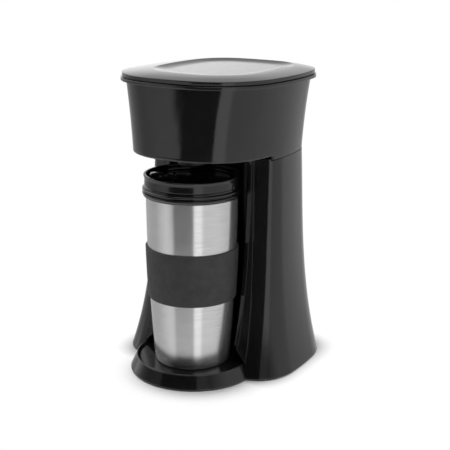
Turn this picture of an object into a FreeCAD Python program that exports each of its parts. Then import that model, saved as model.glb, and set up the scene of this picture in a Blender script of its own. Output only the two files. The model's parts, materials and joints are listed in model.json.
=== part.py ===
import FreeCAD, Part
import math
import os
from types import SimpleNamespace
import Sketcher

# Drip coffee maker with a travel mug. Millimetres, front toward -Y, +Z up,
# origin on the resting plane under the middle of the plan.

os.makedirs("parts", exist_ok=True)

# Driving sizes. A plan outline is a rounded rectangle with bulged sides: its half width,
# its reach to the front and rear of its widest line, and the radii of its arcs.
SIZES = {
    "widest_y": 8.0,
    "wall": 2.5,
    "fit_gap": 0.3,
    "rest_gap": 0.1,
    "run_gap": 0.05,
    # plan of the flange round the top of the head, also the plan of the lid
    "flange_half": 76.1, "flange_front": 86.9, "flange_rear": 80.2,
    "flange_side_r": 220.0, "flange_front_r": 200.0, "flange_rear_r": 230.0,
    "flange_fcorner_r": 59.0, "flange_rcorner_r": 53.0,
    # plan of the head at the seam
    "seam_half": 65.3, "seam_front": 84.0, "seam_rear": 69.2,
    "seam_side_r": 170.0, "seam_front_r": 260.0, "seam_rear_r": 267.0,
    "seam_fcorner_r": 56.0, "seam_rcorner_r": 41.0,
    # plan of the tower at the seam: same sides and rear as the head
    "top_front": 21.0, "top_front_r": 400.0, "top_fcorner_r": 14.0,
    # plan of the tower at the resting plane
    "base_half": 84.9, "base_front": 52.3, "base_rear": 84.5,
    "base_side_r": 300.0, "base_front_r": 380.0, "base_rear_r": 222.0,
    "base_fcorner_r": 38.0, "base_rcorner_r": 58.0,
    # heights of the tower's plans and how far each has flared toward the base
    "seam_z": 193.0,
    "waist_z": 142.0, "waist_flare": 0.10,
    "knee_z": 75.0, "knee_flare": 0.316,
    "ankle_z": 30.0, "ankle_flare": 0.653,
    "skirt_z": 1.2,
    # head
    "lip_rise": 4.0,
    "head_tall": 64.3, "flange_thick": 2.7, "flange_lip": 4.6,
    "belly_rise": 32.0, "belly_mix": 0.64,
    "floor_thick": 2.5,
    # lid
    "lid_gap": 0.3, "lid_inset": 1.2, "lid_edge": 3.5, "lid_crown": 2.2, "lid_crown_inset": 10.0,
    "dish_inset": 22.0, "dish_floor_inset": 29.0, "dish_depth": 3.0,
    # lid hinge, inside the rear of the flange
    "hinge_inset": 5.6, "hinge_rise": 0.2, "knuckle_r": 3.0, "hinge_pin_r": 1.5,
    "knuckle_x": 12.0, "knuckle_long": 11.0, "lug_long": 8.0,
    "notch_half": 45.0, "notch_reach": 4.6,
    # niche, tray
    "niche_r": 53.4, "niche_y": -37.5, "liner_thick": 2.0,
    "cheek_x": 43.0, "cheek_foot_tall": 11.0, "cheek_foot_wide": 10.0,
    "tray_y": -35.0, "tray_foot_r": 57.5, "tray_rim_r": 52.2, "tray_rim_z": 12.5,
    "tray_floor_z": 10.7, "tray_lip_w": 1.4, "tray_thick": 2.2,
    # bottom cover, feet, screws
    "cover_thick": 2.0, "cover_gap": 1.0, "foot_r": 6.0, "foot_sink": 0.8,
    "foot_x": 62.0, "foot_rear_y": 56.0, "foot_front_x": 30.0, "foot_front_y": -66.0,
    "screw_r": 1.5, "screw_long": 9.0, "screw_shank": 5.0, "strap_screw_shank": 7.0, "screw_head_r": 3.0, "screw_head_thick": 1.2,
    "boss_r": 4.0, "side_boss_x": 72.5, "side_boss_y": 12.0, "side_boss_top": 33.0,
    "rear_boss_x": 54.0, "rear_boss_y": 73.0, "rear_boss_top": 19.0,
    "tray_boss_r": 34.0, "bridge_half": 24.0,
    # filter basket, mesh filter, outlet
    "basket_y": -27.0, "basket_rim_r": 43.5, "basket_top_r": 40.5, "basket_foot_r": 31.0,
    "basket_tall": 38.0, "basket_wall": 2.0,
    "outlet_r": 12.0, "outlet_bore": 4.0, "outlet_drop": 11.0,
    "mesh_thick": 0.9, "mesh_ring": 1.6, "mesh_gap": 0.5,
    # water tank
    "tank_half": 46.0, "tank_front_y": 22.0, "tank_rear_y": 66.0, "tank_step": 3.0,
    "tank_deep": 73.0, "tank_drop": 19.3, "tank_wall": 2.0, "tank_corner_r": 12.0,
    "nipple_x": 26.0, "nipple_y": 52.0, "nipple_r": 4.0, "nipple_bore": 2.6, "nipple_long": 12.0,
    # boiler and water path
    "boiler_z": 25.0, "boiler_wide": 14.0, "boiler_tall": 26.0,
    "boiler_y": 53.0, "boiler_bend": 15.0, "boiler_bend_x": -30.0, "boiler_end_x": 18.0,
    "water_r": 3.0, "element_r": 3.3, "bore_rise": 6.0,
    "spigot_r": 4.0, "spigot_long": 10.0,
    "hose_wall": 1.6, "hose_bend": 9.0, "riser_x": 53.0, "riser_drop": 13.8,
    "cold_turn_x": 40.0, "cold_turn_z": 52.0,
    "valve_r": 6.5, "valve_long": 16.0, "valve_reach": 8.0, "valve_z": 86.0,
    "spread_drop": 13.3, "spread_thick": 6.0, "spread_wide": 9.0, "spread_r": 14.0, "spread_hole_r": 1.2,
    "strap_thick": 0.8, "strap_wide": 9.0, "strap_x": 10.0, "strap_far_x": -24.0, "strap_foot": 9.5,
    "stat_r": 8.0, "stat_tall": 7.0, "stat_x": -7.0,
    "fuse_r": 2.2, "fuse_long": 18.0,
    "element_reach": 9.0,
    "wire_r": 1.1, "wire_bend": 4.0, "block_screw_r": 1.8,
    "block_x": -65.0, "block_y": 38.0, "block_long": 24.0, "block_wide": 12.0, "block_tall": 12.0,
    "gland_x": -7.0, "gland_z": 20.0, "gland_r": 5.5, "gland_bore": 3.6, "gland_flange_r": 8.0,
    "gland_in": 2.6, "gland_long": 9.0, "gland_rim": 2.2,
    # power switch on the left flank
    "switch_y": 12.0, "switch_drop": 25.0, "switch_tall": 21.0, "switch_wide": 15.0,
    "switch_sink": 0.6, "switch_rim": 1.8, "switch_deep": 13.0, "switch_frame": 2.2,
    "rocker_tilt": 8.0, "rocker_pivot": 2.6, "rocker_round": 7.9, "rocker_dip": 0.9, "rocker_wide": 9.6, "rocker_half": 7.2,
    "rocker_proud": 0.6, "rocker_back": 2.2, "rocker_axle_r": 1.6,
    "lens_wide": 5.0, "lens_tall": 3.0, "lens_thick": 0.8,
    # travel mug
    "mug_y": -38.0, "mug_foot_r": 31.3, "mug_top_r": 39.9, "mug_top_z": 161.0, "mug_curve": 2000.0,
    "mug_skin": 0.8, "mug_foot_round": 4.0,
    "grip_low_z": 72.0, "grip_top_z": 118.0, "grip_thick": 1.5, "grip_gap": 0.2,
    "pad_r": 23.0, "pad_thick": 2.0,
    "cup_foot_gap": 3.3, "cup_top_gap": 3.5, "cup_wall": 1.0, "cup_floor_z": 18.0, "cup_over": 7.0,
    "collar_tall": 9.0, "collar_r": 43.0, "collar_step_r": 41.9, "collar_step": 5.2, "collar_bevel": 1.0,
    "mug_lid_r": 41.8, "mug_lid_tall": 9.4, "mug_lid_wall": 2.2, "mug_deck_drop": 5.0, "mug_deck_thick": 2.2,
    "plug_gap": 0.6, "plug_deep": 10.0, "plug_wall": 2.0, "seal_deep": 1.2, "seal_tall": 3.0, "seal_low": 3.0,
    "drink_turn": 211.6, "drink_reach": 29.0, "drink_r": 5.0, "vent_r": 1.2,
    "slider_long": 25.0, "slider_wide": 14.0, "slider_thick": 2.0, "slider_out": 25.5, "slider_travel": 11.0,
    "slider_thumb": 2.2, "slider_thumb_long": 4.0, "guide_wide": 2.0, "guide_tall": 1.5,
}


class Size:
    # A number together with the sheet expression that it comes from.
    def __init__(self, number, text):
        self.number = float(number)
        self.text = text

    def __add__(self, other):
        other = as_size(other)
        return Size(self.number + other.number, f"({self.text} + {other.text})")

    def __sub__(self, other):
        other = as_size(other)
        return Size(self.number - other.number, f"({self.text} - {other.text})")

    def __mul__(self, other):
        other = as_size(other)
        return Size(self.number * other.number, f"({self.text} * {other.text})")

    def __truediv__(self, other):
        other = as_size(other)
        return Size(self.number / other.number, f"({self.text} / {other.text})")

    def __radd__(self, other):
        return as_size(other) + self

    def __rsub__(self, other):
        return as_size(other) - self

    def __rmul__(self, other):
        return as_size(other) * self

    def __neg__(self):
        return Size(-self.number, f"(0 - {self.text})")


def as_size(value):
    if isinstance(value, Size):
        return value
    return Size(value, repr(float(value)))


doc = FreeCAD.newDocument("coffee_maker")
sheet = doc.addObject("Spreadsheet::Sheet", "Sizes")
for row, (name, number) in enumerate(SIZES.items(), start=1):
    sheet.set(f"A{row}", name)
    sheet.set(f"B{row}", str(number))
    sheet.setAlias(f"B{row}", name)
doc.recompute()
S = SimpleNamespace(**{name: Size(number, f"Sizes.{name}") for name, number in SIZES.items()})
nodes = []


def bind(item, prop, size):
    item.setExpression(prop, as_size(size).text)


def new_body(label, keep=True):
    made = doc.addObject("PartDesign::Body", label)
    made.Label = label
    made.AllowCompound = True
    if keep:
        nodes.append(made)
    return made


def new_sketch(body, name, role, lift=0.0, shift_x=0.0, shift_y=0.0):
    # lift is along the plane's normal: +Z for XY, -Y for XZ, +X for YZ
    made = body.newObject("Sketcher::SketchObject", name)
    plane = [item for item in body.Origin.OriginFeatures if item.Role == role][0]
    made.AttachmentSupport = [(plane, "")]
    made.MapMode = "FlatFace"
    for axis, size in (("x", shift_x), ("y", shift_y), ("z", lift)):
        bind(made, f"AttachmentOffset.Base.{axis}", size)
    return made


def fix_point(sketch, geo, pos, axis, size):
    # One coordinate of a point, measured from the sketch's origin.
    size = as_size(size)
    kind = "DistanceX" if axis == "x" else "DistanceY"
    if abs(size.number) < 1e-9:
        sketch.addConstraint(Sketcher.Constraint("PointOnObject", geo, pos, -2 if axis == "x" else -1))
        return
    if size.number > 0:
        index = sketch.addConstraint(Sketcher.Constraint(kind, -1, 1, geo, pos, size.number))
    else:
        size = -size
        index = sketch.addConstraint(Sketcher.Constraint(kind, geo, pos, -1, 1, size.number))
    sketch.setExpression(f"Constraints[{index}]", size.text)


def fix_radius(sketch, geo, size):
    size = as_size(size)
    index = sketch.addConstraint(Sketcher.Constraint("Radius", geo, size.number))
    sketch.setExpression(f"Constraints[{index}]", size.text)


def flat(x, y):
    return FreeCAD.Vector(x, y, 0)


def arc(centre, radius, start, end):
    circle = Part.Circle(flat(*centre), FreeCAD.Vector(0, 0, 1), radius)
    return Part.ArcOfCircle(circle, start, end)


def draw_polygon(sketch, points, curves=None):
    # points are (x, y) sizes; curves gives a radius to the side that starts at a point, bulging
    # to the right of the way round, or to the left where the radius is negative
    curves = curves or {}
    spots = [(as_size(x), as_size(y)) for x, y in points]
    count = len(spots)
    first = sketch.GeometryCount
    ends = []
    for i, (x, y) in enumerate(spots):
        x2, y2 = spots[(i + 1) % count]
        start = flat(x.number, y.number)
        end = flat(x2.number, y2.number)
        if i not in curves:
            sketch.addGeometry(Part.LineSegment(start, end))
            ends.append((1, 2))
            continue
        radius = abs(as_size(curves[i]).number)
        right_hand = as_size(curves[i]).number > 0
        chord = end - start
        middle = (start + end) * 0.5
        left = flat(-chord.y, chord.x).normalize()
        depth = math.sqrt(radius ** 2 - (chord.Length / 2) ** 2)
        centre = middle + left * (depth if right_hand else -depth)
        first_spot, last_spot = (start, end) if right_hand else (end, start)
        angle1 = math.atan2(first_spot.y - centre.y, first_spot.x - centre.x)
        angle2 = math.atan2(last_spot.y - centre.y, last_spot.x - centre.x)
        if angle2 < angle1:
            angle2 += 2 * math.pi
        sketch.addGeometry(arc((centre.x, centre.y), radius, angle1, angle2))
        ends.append((1, 2) if right_hand else (2, 1))
    for i in range(count):
        after = (i + 1) % count
        sketch.addConstraint(Sketcher.Constraint("Coincident", first + i, ends[i][1], first + after, ends[after][0]))
        fix_point(sketch, first + i, ends[i][0], "x", spots[i][0])
        fix_point(sketch, first + i, ends[i][0], "y", spots[i][1])
        if i in curves:
            radius = as_size(curves[i])
            fix_radius(sketch, first + i, radius if radius.number > 0 else -radius)


def draw_circle(sketch, x, y, radius):
    x, y, radius = as_size(x), as_size(y), as_size(radius)
    geo = sketch.addGeometry(Part.Circle(flat(x.number, y.number), FreeCAD.Vector(0, 0, 1), radius.number))
    fix_point(sketch, geo, 3, "x", x)
    fix_point(sketch, geo, 3, "y", y)
    fix_radius(sketch, geo, radius)


def draw_turned(sketch, x, y, long, wide, angle):
    # Rectangle about a centre, its length turned by an angle in degrees.
    angle = as_size(angle).number
    way = (math.cos(math.radians(angle)), math.sin(math.radians(angle)))
    corners = []
    for a, b in ((-0.5, -0.5), (0.5, -0.5), (0.5, 0.5), (-0.5, 0.5)):
        corners.append((x + long * (a * way[0]) - wide * (b * way[1]), y + long * (a * way[1]) + wide * (b * way[0])))
    draw_polygon(sketch, corners)


def draw_rounded(sketch, x1, x2, y1, y2, radius):
    # Rectangle with equal round corners.
    x1, x2, y1, y2, radius = (as_size(v) for v in (x1, x2, y1, y2, radius))
    first = sketch.GeometryCount
    corners = [(x2 - radius, y1 + radius, -90), (x2 - radius, y2 - radius, 0),
               (x1 + radius, y2 - radius, 90), (x1 + radius, y1 + radius, 180)]
    starts = [(x1 + radius, y1), (x2, y1 + radius), (x2 - radius, y2), (x1, y2 - radius)]
    stops = [(x2 - radius, y1), (x2, y2 - radius), (x1 + radius, y2), (x1, y1 + radius)]
    for (cx, cy, turn), start, stop in zip(corners, starts, stops):
        sketch.addGeometry(Part.LineSegment(flat(start[0].number, start[1].number),
                                            flat(stop[0].number, stop[1].number)))
        angle = math.radians(turn)
        sketch.addGeometry(arc((cx.number, cy.number), radius.number, angle, angle + math.pi / 2))
    for i in range(8):
        sketch.addConstraint(Sketcher.Constraint("Tangent", first + i, 2, first + (i + 1) % 8, 1))
    for i, (cx, cy, turn) in enumerate(corners):
        fix_point(sketch, first + 2 * i + 1, 3, "x", cx)
        fix_point(sketch, first + 2 * i + 1, 3, "y", cy)
    fix_radius(sketch, first + 1, radius)


def plan(first, second=None, mix=None, inset=0.0):
    # Sizes of a plan outline: one outline, or one mixed toward another, then drawn in by inset.
    made = {}
    for key in ("half", "front", "rear", "side_r", "front_r", "rear_r", "fcorner_r", "rcorner_r"):
        size = first[key]
        if second:
            size = size + (second[key] - size) * mix
        made[key] = size - inset
    return made


def master(prefix, **others):
    keys = ("half", "front", "rear", "side_r", "front_r", "rear_r", "fcorner_r", "rcorner_r")
    return {key: getattr(S, f"{others.get(key, prefix)}_{key}") for key in keys}


flange_plan = master("flange")
seam_plan = master("seam")
tower_top_plan = master("seam", front="top", front_r="top", fcorner_r="top")
tower_base_plan = master("base")


def corner_centre(half, end, side_r, end_r, corner_r):
    # Centre of the corner arc that lies inside, and touches, a side arc and an end arc.
    side = flat(half - side_r, 0)
    tip = flat(0, end - end_r)
    way = tip - side
    span = way.Length
    reach1 = side_r - corner_r
    reach2 = end_r - corner_r
    along = (span ** 2 + reach1 ** 2 - reach2 ** 2) / (2 * span)
    across = math.sqrt(reach1 ** 2 - along ** 2)
    way.normalize()
    spots = [side + way * along + flat(way.y, -way.x) * sign * across for sign in (1, -1)]
    return max(spots, key=lambda spot: spot.x + spot.y)


def draw_plan(sketch, sizes):
    # Eight arcs, counter-clockwise from the right side, each tangent to the next.
    v = {key: size.number for key, size in sizes.items()}
    rear = corner_centre(v["half"], v["rear"], v["side_r"], v["rear_r"], v["rcorner_r"])
    front = corner_centre(v["half"], v["front"], v["side_r"], v["front_r"], v["fcorner_r"])
    side_x = v["half"] - v["side_r"]
    rear_y = v["rear"] - v["rear_r"]
    front_y = v["front_r"] - v["front"]
    a1 = math.atan2(rear.y, rear.x - side_x)
    b1 = math.atan2(rear.y - rear_y, rear.x)
    a2 = math.atan2(front.y, front.x - side_x)
    b2 = math.atan2(front.y + front_y, front.x)
    pi = math.pi
    sketch.addGeometry(arc((side_x, 0), v["side_r"], -a2, a1))
    sketch.addGeometry(arc((rear.x, rear.y), v["rcorner_r"], a1, b1))
    sketch.addGeometry(arc((0, rear_y), v["rear_r"], b1, pi - b1))
    sketch.addGeometry(arc((-rear.x, rear.y), v["rcorner_r"], pi - b1, pi - a1))
    sketch.addGeometry(arc((-side_x, 0), v["side_r"], pi - a1, pi + a2))
    sketch.addGeometry(arc((-front.x, -front.y), v["fcorner_r"], pi + a2, pi + b2))
    sketch.addGeometry(arc((0, front_y), v["front_r"], pi + b2, 2 * pi - b2))
    sketch.addGeometry(arc((front.x, -front.y), v["fcorner_r"], 2 * pi - b2, 2 * pi - a2))
    for i in range(8):
        sketch.addConstraint(Sketcher.Constraint("Tangent", i, 2, (i + 1) % 8, 1))
    for geo, key in ((0, "side_r"), (1, "rcorner_r"), (2, "rear_r"), (6, "front_r"), (7, "fcorner_r")):
        fix_radius(sketch, geo, sizes[key])
    for left, right in ((3, 1), (4, 0), (5, 7)):
        sketch.addConstraint(Sketcher.Constraint("Equal", left, right))
    fix_point(sketch, 0, 3, "x", sizes["half"] - sizes["side_r"])
    fix_point(sketch, 0, 3, "y", 0.0)
    fix_point(sketch, 4, 3, "x", sizes["side_r"] - sizes["half"])
    fix_point(sketch, 4, 3, "y", 0.0)
    fix_point(sketch, 2, 3, "x", 0.0)
    fix_point(sketch, 2, 3, "y", sizes["rear"] - sizes["rear_r"])
    fix_point(sketch, 6, 3, "x", 0.0)
    fix_point(sketch, 6, 3, "y", sizes["front_r"] - sizes["front"])


def plan_sketch(body, name, height, sizes):
    made = new_sketch(body, name, "XY_Plane", lift=height, shift_y=S.widest_y)
    draw_plan(made, sizes)
    return made


def loft(body, kind, name, sketches, ruled=False):
    made = body.newObject(f"PartDesign::{kind}Loft", name)
    made.Profile = sketches[0]
    made.Sections = sketches[1:]
    made.Ruled = ruled
    doc.recompute()
    return made


def pad(body, sketch, length, back=False, both=False):
    made = body.newObject("PartDesign::Pad", f"{sketch.Name}Pad")
    made.Profile = sketch
    bind(made, "Length", length)
    made.Reversed = back
    made.Midplane = both
    doc.recompute()
    return made


def pocket(body, sketch, length, back=False, both=False):
    made = body.newObject("PartDesign::Pocket", f"{sketch.Name}Pocket")
    made.Profile = sketch
    bind(made, "Length", length)
    made.Reversed = back
    made.Midplane = both
    doc.recompute()
    return made


def turned(body, name, points, axis_y, cut=False, curves=None):
    # A profile of (radius, height) points turned about an upright axis at axis_y.
    outline = new_sketch(body, name, "XZ_Plane", lift=-as_size(axis_y))
    draw_polygon(outline, points, curves)
    made = body.newObject("PartDesign::Groove" if cut else "PartDesign::Revolution", f"{name}Turn")
    made.Profile = outline
    made.ReferenceAxis = (outline, ["V_Axis"])
    made.Angle = 360
    doc.recompute()
    return made


def round_edges(body, name, radius, test):
    # Rounds the edges of the body's last shape that pass the test.
    tip = body.Tip
    picked = [f"Edge{i}" for i, edge in enumerate(tip.Shape.Edges, start=1) if test(edge)]
    made = body.newObject("PartDesign::Fillet", name)
    made.Base = (tip, picked)
    bind(made, "Radius", radius)
    doc.recompute()
    return made


def is_ring(edge, radius, height):
    # A full circle of this radius at this height.
    if not isinstance(edge.Curve, Part.Circle):
        return False
    near_radius = abs(edge.Curve.Radius - as_size(radius).number) < 0.02
    return near_radius and abs(edge.Curve.Center.z - as_size(height).number) < 0.02


def routed(points, bend):
    # A path of straight runs with a round bend at each inner point.
    spots = [FreeCAD.Vector(*(as_size(v).number for v in point)) for point in points]
    bend = as_size(bend).number
    edges = []
    start = spots[0]
    for before, corner, after in zip(spots, spots[1:], spots[2:]):
        way_in = (corner - before).normalize()
        way_out = (after - corner).normalize()
        half_turn = way_in.getAngle(way_out) / 2
        cut = bend * math.tan(half_turn)
        inward = (way_out - way_in).normalize()
        middle = corner + inward * (bend / math.cos(half_turn) - bend)
        edges.append(Part.LineSegment(start, corner - way_in * cut).toShape())
        edges.append(Part.Arc(corner - way_in * cut, middle, corner + way_out * cut).toShape())
        start = corner + way_out * cut
    edges.append(Part.LineSegment(start, spots[-1]).toShape())
    return Part.Wire(edges)


def routed_tube(points, radius, bend, bore=None):
    # A hose, or a wire when it has no bore, along a routed path.
    path = routed(points, bend)
    first = path.OrderedEdges[0]
    start = first.valueAt(first.FirstParameter)
    way = first.tangentAt(first.FirstParameter)
    rings = [Part.Wire([Part.makeCircle(as_size(r).number, start, way)]) for r in (radius, bore) if r is not None]
    solids = [path.makePipeShell([ring], True, False) for ring in rings]
    if bore is None:
        return solids[0]
    return solids[0].cut(solids[1])


def keep_shape(label, shape):
    made = doc.addObject("Part::Feature", label)
    made.Label = label
    made.Shape = shape
    nodes.append(made)
    return made


# Values shared by neighbouring pieces.
lip_z = S.seam_z + S.lip_rise
floor_low_z = lip_z + 0.5
floor_top_z = floor_low_z + S.floor_thick
flange_z = S.seam_z + S.head_tall
belly_z = S.seam_z + S.belly_rise
flange_top_z = flange_z + S.flange_thick
hinge_z = flange_top_z + S.hinge_rise
tank_low_z = S.seam_z - S.tank_deep
tank_top_z = flange_z - S.tank_drop
riser_top_z = flange_z - S.riser_drop
spread_z = flange_z - S.spread_drop
switch_z = S.seam_z - S.switch_drop
lid_low_z = flange_top_z + S.lid_gap
lid_edge_z = lid_low_z + S.lid_edge
lid_top_z = lid_edge_z + S.lid_crown
hinge_y = S.widest_y + S.flange_rear - S.hinge_inset
pillar_y = S.widest_y - S.top_front
step_y = pillar_y + S.wall + S.fit_gap
cover_top_z = S.skirt_z + S.cover_thick
mug_low_z = S.tray_floor_z + S.rest_gap

tower_levels = [
    ("seam", lip_z, 0.0),
    ("waist", S.waist_z, S.waist_flare),
    ("knee", S.knee_z, S.knee_flare),
    ("ankle", S.ankle_z, S.ankle_flare),
    ("skirt", S.skirt_z, 1.0),
]


def tower_loft(body, kind, tag, inset):
    # The tower's flared wall, drawn in by inset.
    rings = []
    for level, height, flare in tower_levels:
        sizes = plan(tower_top_plan, tower_base_plan, as_size(flare), inset)
        rings.append(plan_sketch(body, f"{tag}_{level}", height, sizes))
    return loft(body, kind, f"{tag}_wall", rings)


def head_loft(body, kind, tag, inset):
    # The head's wall from the seam up to the flange, drawn in by inset.
    top_plan = plan(flange_plan, inset=S.flange_lip)
    rings = [
        plan_sketch(body, f"{tag}_seam", S.seam_z, plan(seam_plan, inset=inset)),
        plan_sketch(body, f"{tag}_belly", belly_z, plan(top_plan, seam_plan, S.belly_mix, inset)),
        plan_sketch(body, f"{tag}_top", flange_z, plan(top_plan, inset=inset)),
    ]
    return loft(body, kind, f"{tag}_wall", rings)


def make_head_shell():
    head = new_body("head_shell")
    head_loft(head, "Additive", "head_out", as_size(0.0))
    rim = plan_sketch(head, "head_flange", flange_z, plan(flange_plan))
    pad(head, rim, S.flange_thick)
    head_loft(head, "Subtractive", "head_in", S.wall)
    mouth = plan_sketch(head, "head_mouth", flange_z, plan(flange_plan, inset=S.flange_lip + S.wall))
    pocket(head, mouth, S.flange_thick, back=True)
    # the wall over the niche stops at the lip, above the seam
    lip = new_sketch(head, "head_lip", "YZ_Plane")
    draw_polygon(lip, [(-2 * S.flange_front, S.seam_z - 1), (step_y, S.seam_z - 1),
                       (step_y, lip_z), (-2 * S.flange_front, lip_z)])
    pocket(head, lip, 3 * S.flange_half, both=True)
    # lugs for the hinge pins, and clearance for the lid's knuckles
    for side in (1, -1):
        place_hinge_lug(head, side)
    return head


def hinge_span(side, start, long):
    # Ends along X of a hinge piece that begins start from the middle.
    if side > 0:
        return start, start + long
    return -(start + long), -as_size(start)


def place_hinge_lug(head, side):
    tag = "right" if side > 0 else "left"
    lug_start = S.knuckle_x + S.knuckle_long + S.fit_gap
    low, high = hinge_span(side, lug_start, S.lug_long)
    block = new_sketch(head, f"lug_{tag}", "YZ_Plane", lift=low)
    draw_polygon(block, [(hinge_y - S.knuckle_r, flange_top_z - 1), (hinge_y + S.knuckle_r, flange_top_z - 1),
                         (hinge_y + S.knuckle_r, hinge_z), (hinge_y - S.knuckle_r, hinge_z)],
                 curves={2: S.knuckle_r + 0.001})
    pad(head, block, S.lug_long)
    low, high = hinge_span(side, S.knuckle_x - S.fit_gap, S.knuckle_long + 2 * S.fit_gap)
    well = new_sketch(head, f"well_{tag}", "YZ_Plane", lift=low)
    draw_circle(well, hinge_y, hinge_z, S.knuckle_r + S.fit_gap)
    pocket(head, well, S.knuckle_long + 2 * S.fit_gap, back=True)
    low, high = hinge_span(side, S.knuckle_x + S.knuckle_long / 2, S.knuckle_long / 2 + S.fit_gap + S.lug_long)
    bore = new_sketch(head, f"lug_bore_{tag}", "YZ_Plane", lift=low)
    draw_circle(bore, hinge_y, hinge_z, S.hinge_pin_r)
    pocket(head, bore, S.knuckle_long / 2 + S.fit_gap + S.lug_long, back=True)


def make_lid():
    lid = new_body("lid")
    rings = [
        plan_sketch(lid, "lid_low", lid_low_z, plan(flange_plan, inset=S.lid_inset)),
        plan_sketch(lid, "lid_edge_ring", lid_edge_z, plan(flange_plan, inset=S.lid_inset + 0.6)),
    ]
    loft(lid, "Additive", "lid_rim", rings)
    crown = [
        plan_sketch(lid, "lid_shoulder", lid_edge_z, plan(flange_plan, inset=S.lid_inset + 0.6)),
        plan_sketch(lid, "lid_slope", lid_edge_z + 0.72 * S.lid_crown,
                    plan(flange_plan, inset=S.lid_inset + 0.45 * S.lid_crown_inset)),
        plan_sketch(lid, "lid_crest", lid_top_z, plan(flange_plan, inset=S.lid_inset + S.lid_crown_inset)),
    ]
    loft(lid, "Additive", "lid_crown_loft", crown)
    dish = [
        plan_sketch(lid, "dish_mouth", lid_top_z + 0.01, plan(flange_plan, inset=S.dish_inset)),
        plan_sketch(lid, "dish_floor", lid_top_z - S.dish_depth, plan(flange_plan, inset=S.dish_floor_inset)),
    ]
    loft(lid, "Subtractive", "dish", dish)
    # room for the hinge at the rear, then arms and knuckles
    notch = new_sketch(lid, "notch", "XY_Plane", lift=lid_low_z - 1)
    draw_polygon(notch, [(-S.notch_half, hinge_y - S.notch_reach), (S.notch_half, hinge_y - S.notch_reach),
                         (S.notch_half, hinge_y + 20), (-S.notch_half, hinge_y + 20)])
    pocket(lid, notch, S.lid_edge + S.lid_crown + 2, back=True)
    for side in (1, -1):
        tag = "right" if side > 0 else "left"
        low, high = hinge_span(side, S.knuckle_x, S.knuckle_long)
        arm = new_sketch(lid, f"arm_{tag}", "YZ_Plane", lift=low)
        draw_polygon(arm, [(hinge_y - S.notch_reach - 1, lid_low_z), (hinge_y, lid_low_z),
                           (hinge_y, hinge_z + S.knuckle_r), (hinge_y - S.notch_reach - 1, hinge_z + S.knuckle_r)])
        pad(lid, arm, S.knuckle_long)
        knuckle = new_sketch(lid, f"knuckle_{tag}", "YZ_Plane", lift=low)
        draw_circle(knuckle, hinge_y, hinge_z, S.knuckle_r)
        pad(lid, knuckle, S.knuckle_long)
        bore = new_sketch(lid, f"knuckle_bore_{tag}", "YZ_Plane", lift=low)
        draw_circle(bore, hinge_y, hinge_z, S.hinge_pin_r + S.run_gap)
        pocket(lid, bore, S.knuckle_long, back=True)
    return lid


def make_hinge_pins():
    pins = new_body("lid_hinge_pins")
    long = S.knuckle_long + S.fit_gap + S.lug_long
    for side in (1, -1):
        low, high = hinge_span(side, S.knuckle_x, long)
        ring = new_sketch(pins, "pin_right" if side > 0 else "pin_left", "YZ_Plane", lift=low)
        draw_circle(ring, hinge_y, hinge_z, S.hinge_pin_r)
        pad(pins, ring, long)
    return pins


def make_head_floor():
    floor = new_body("head_floor")
    plate = plan_sketch(floor, "floor_plate", floor_low_z, plan(seam_plan, inset=S.wall + S.fit_gap))
    pad(floor, plate, S.floor_thick)
    hole = new_sketch(floor, "floor_outlet", "XY_Plane", lift=floor_low_z)
    draw_circle(hole, 0.0, S.niche_y, S.outlet_r + S.fit_gap)
    pocket(floor, hole, S.floor_thick, back=True)
    gate = new_sketch(floor, "floor_tank_gate", "XY_Plane", lift=floor_low_z)
    gap = S.fit_gap - S.tank_step
    draw_rounded(gate, -(S.tank_half + gap), S.tank_half + gap, S.tank_front_y - gap, S.tank_rear_y + gap,
                 S.tank_corner_r)
    pocket(floor, gate, S.floor_thick, back=True)
    pipe = new_sketch(floor, "floor_riser", "XY_Plane", lift=floor_low_z)
    draw_circle(pipe, S.riser_x, S.boiler_y - S.boiler_bend, S.spigot_r + S.run_gap + S.hose_wall + S.fit_gap)
    pocket(floor, pipe, S.floor_thick, back=True)
    return floor


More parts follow.
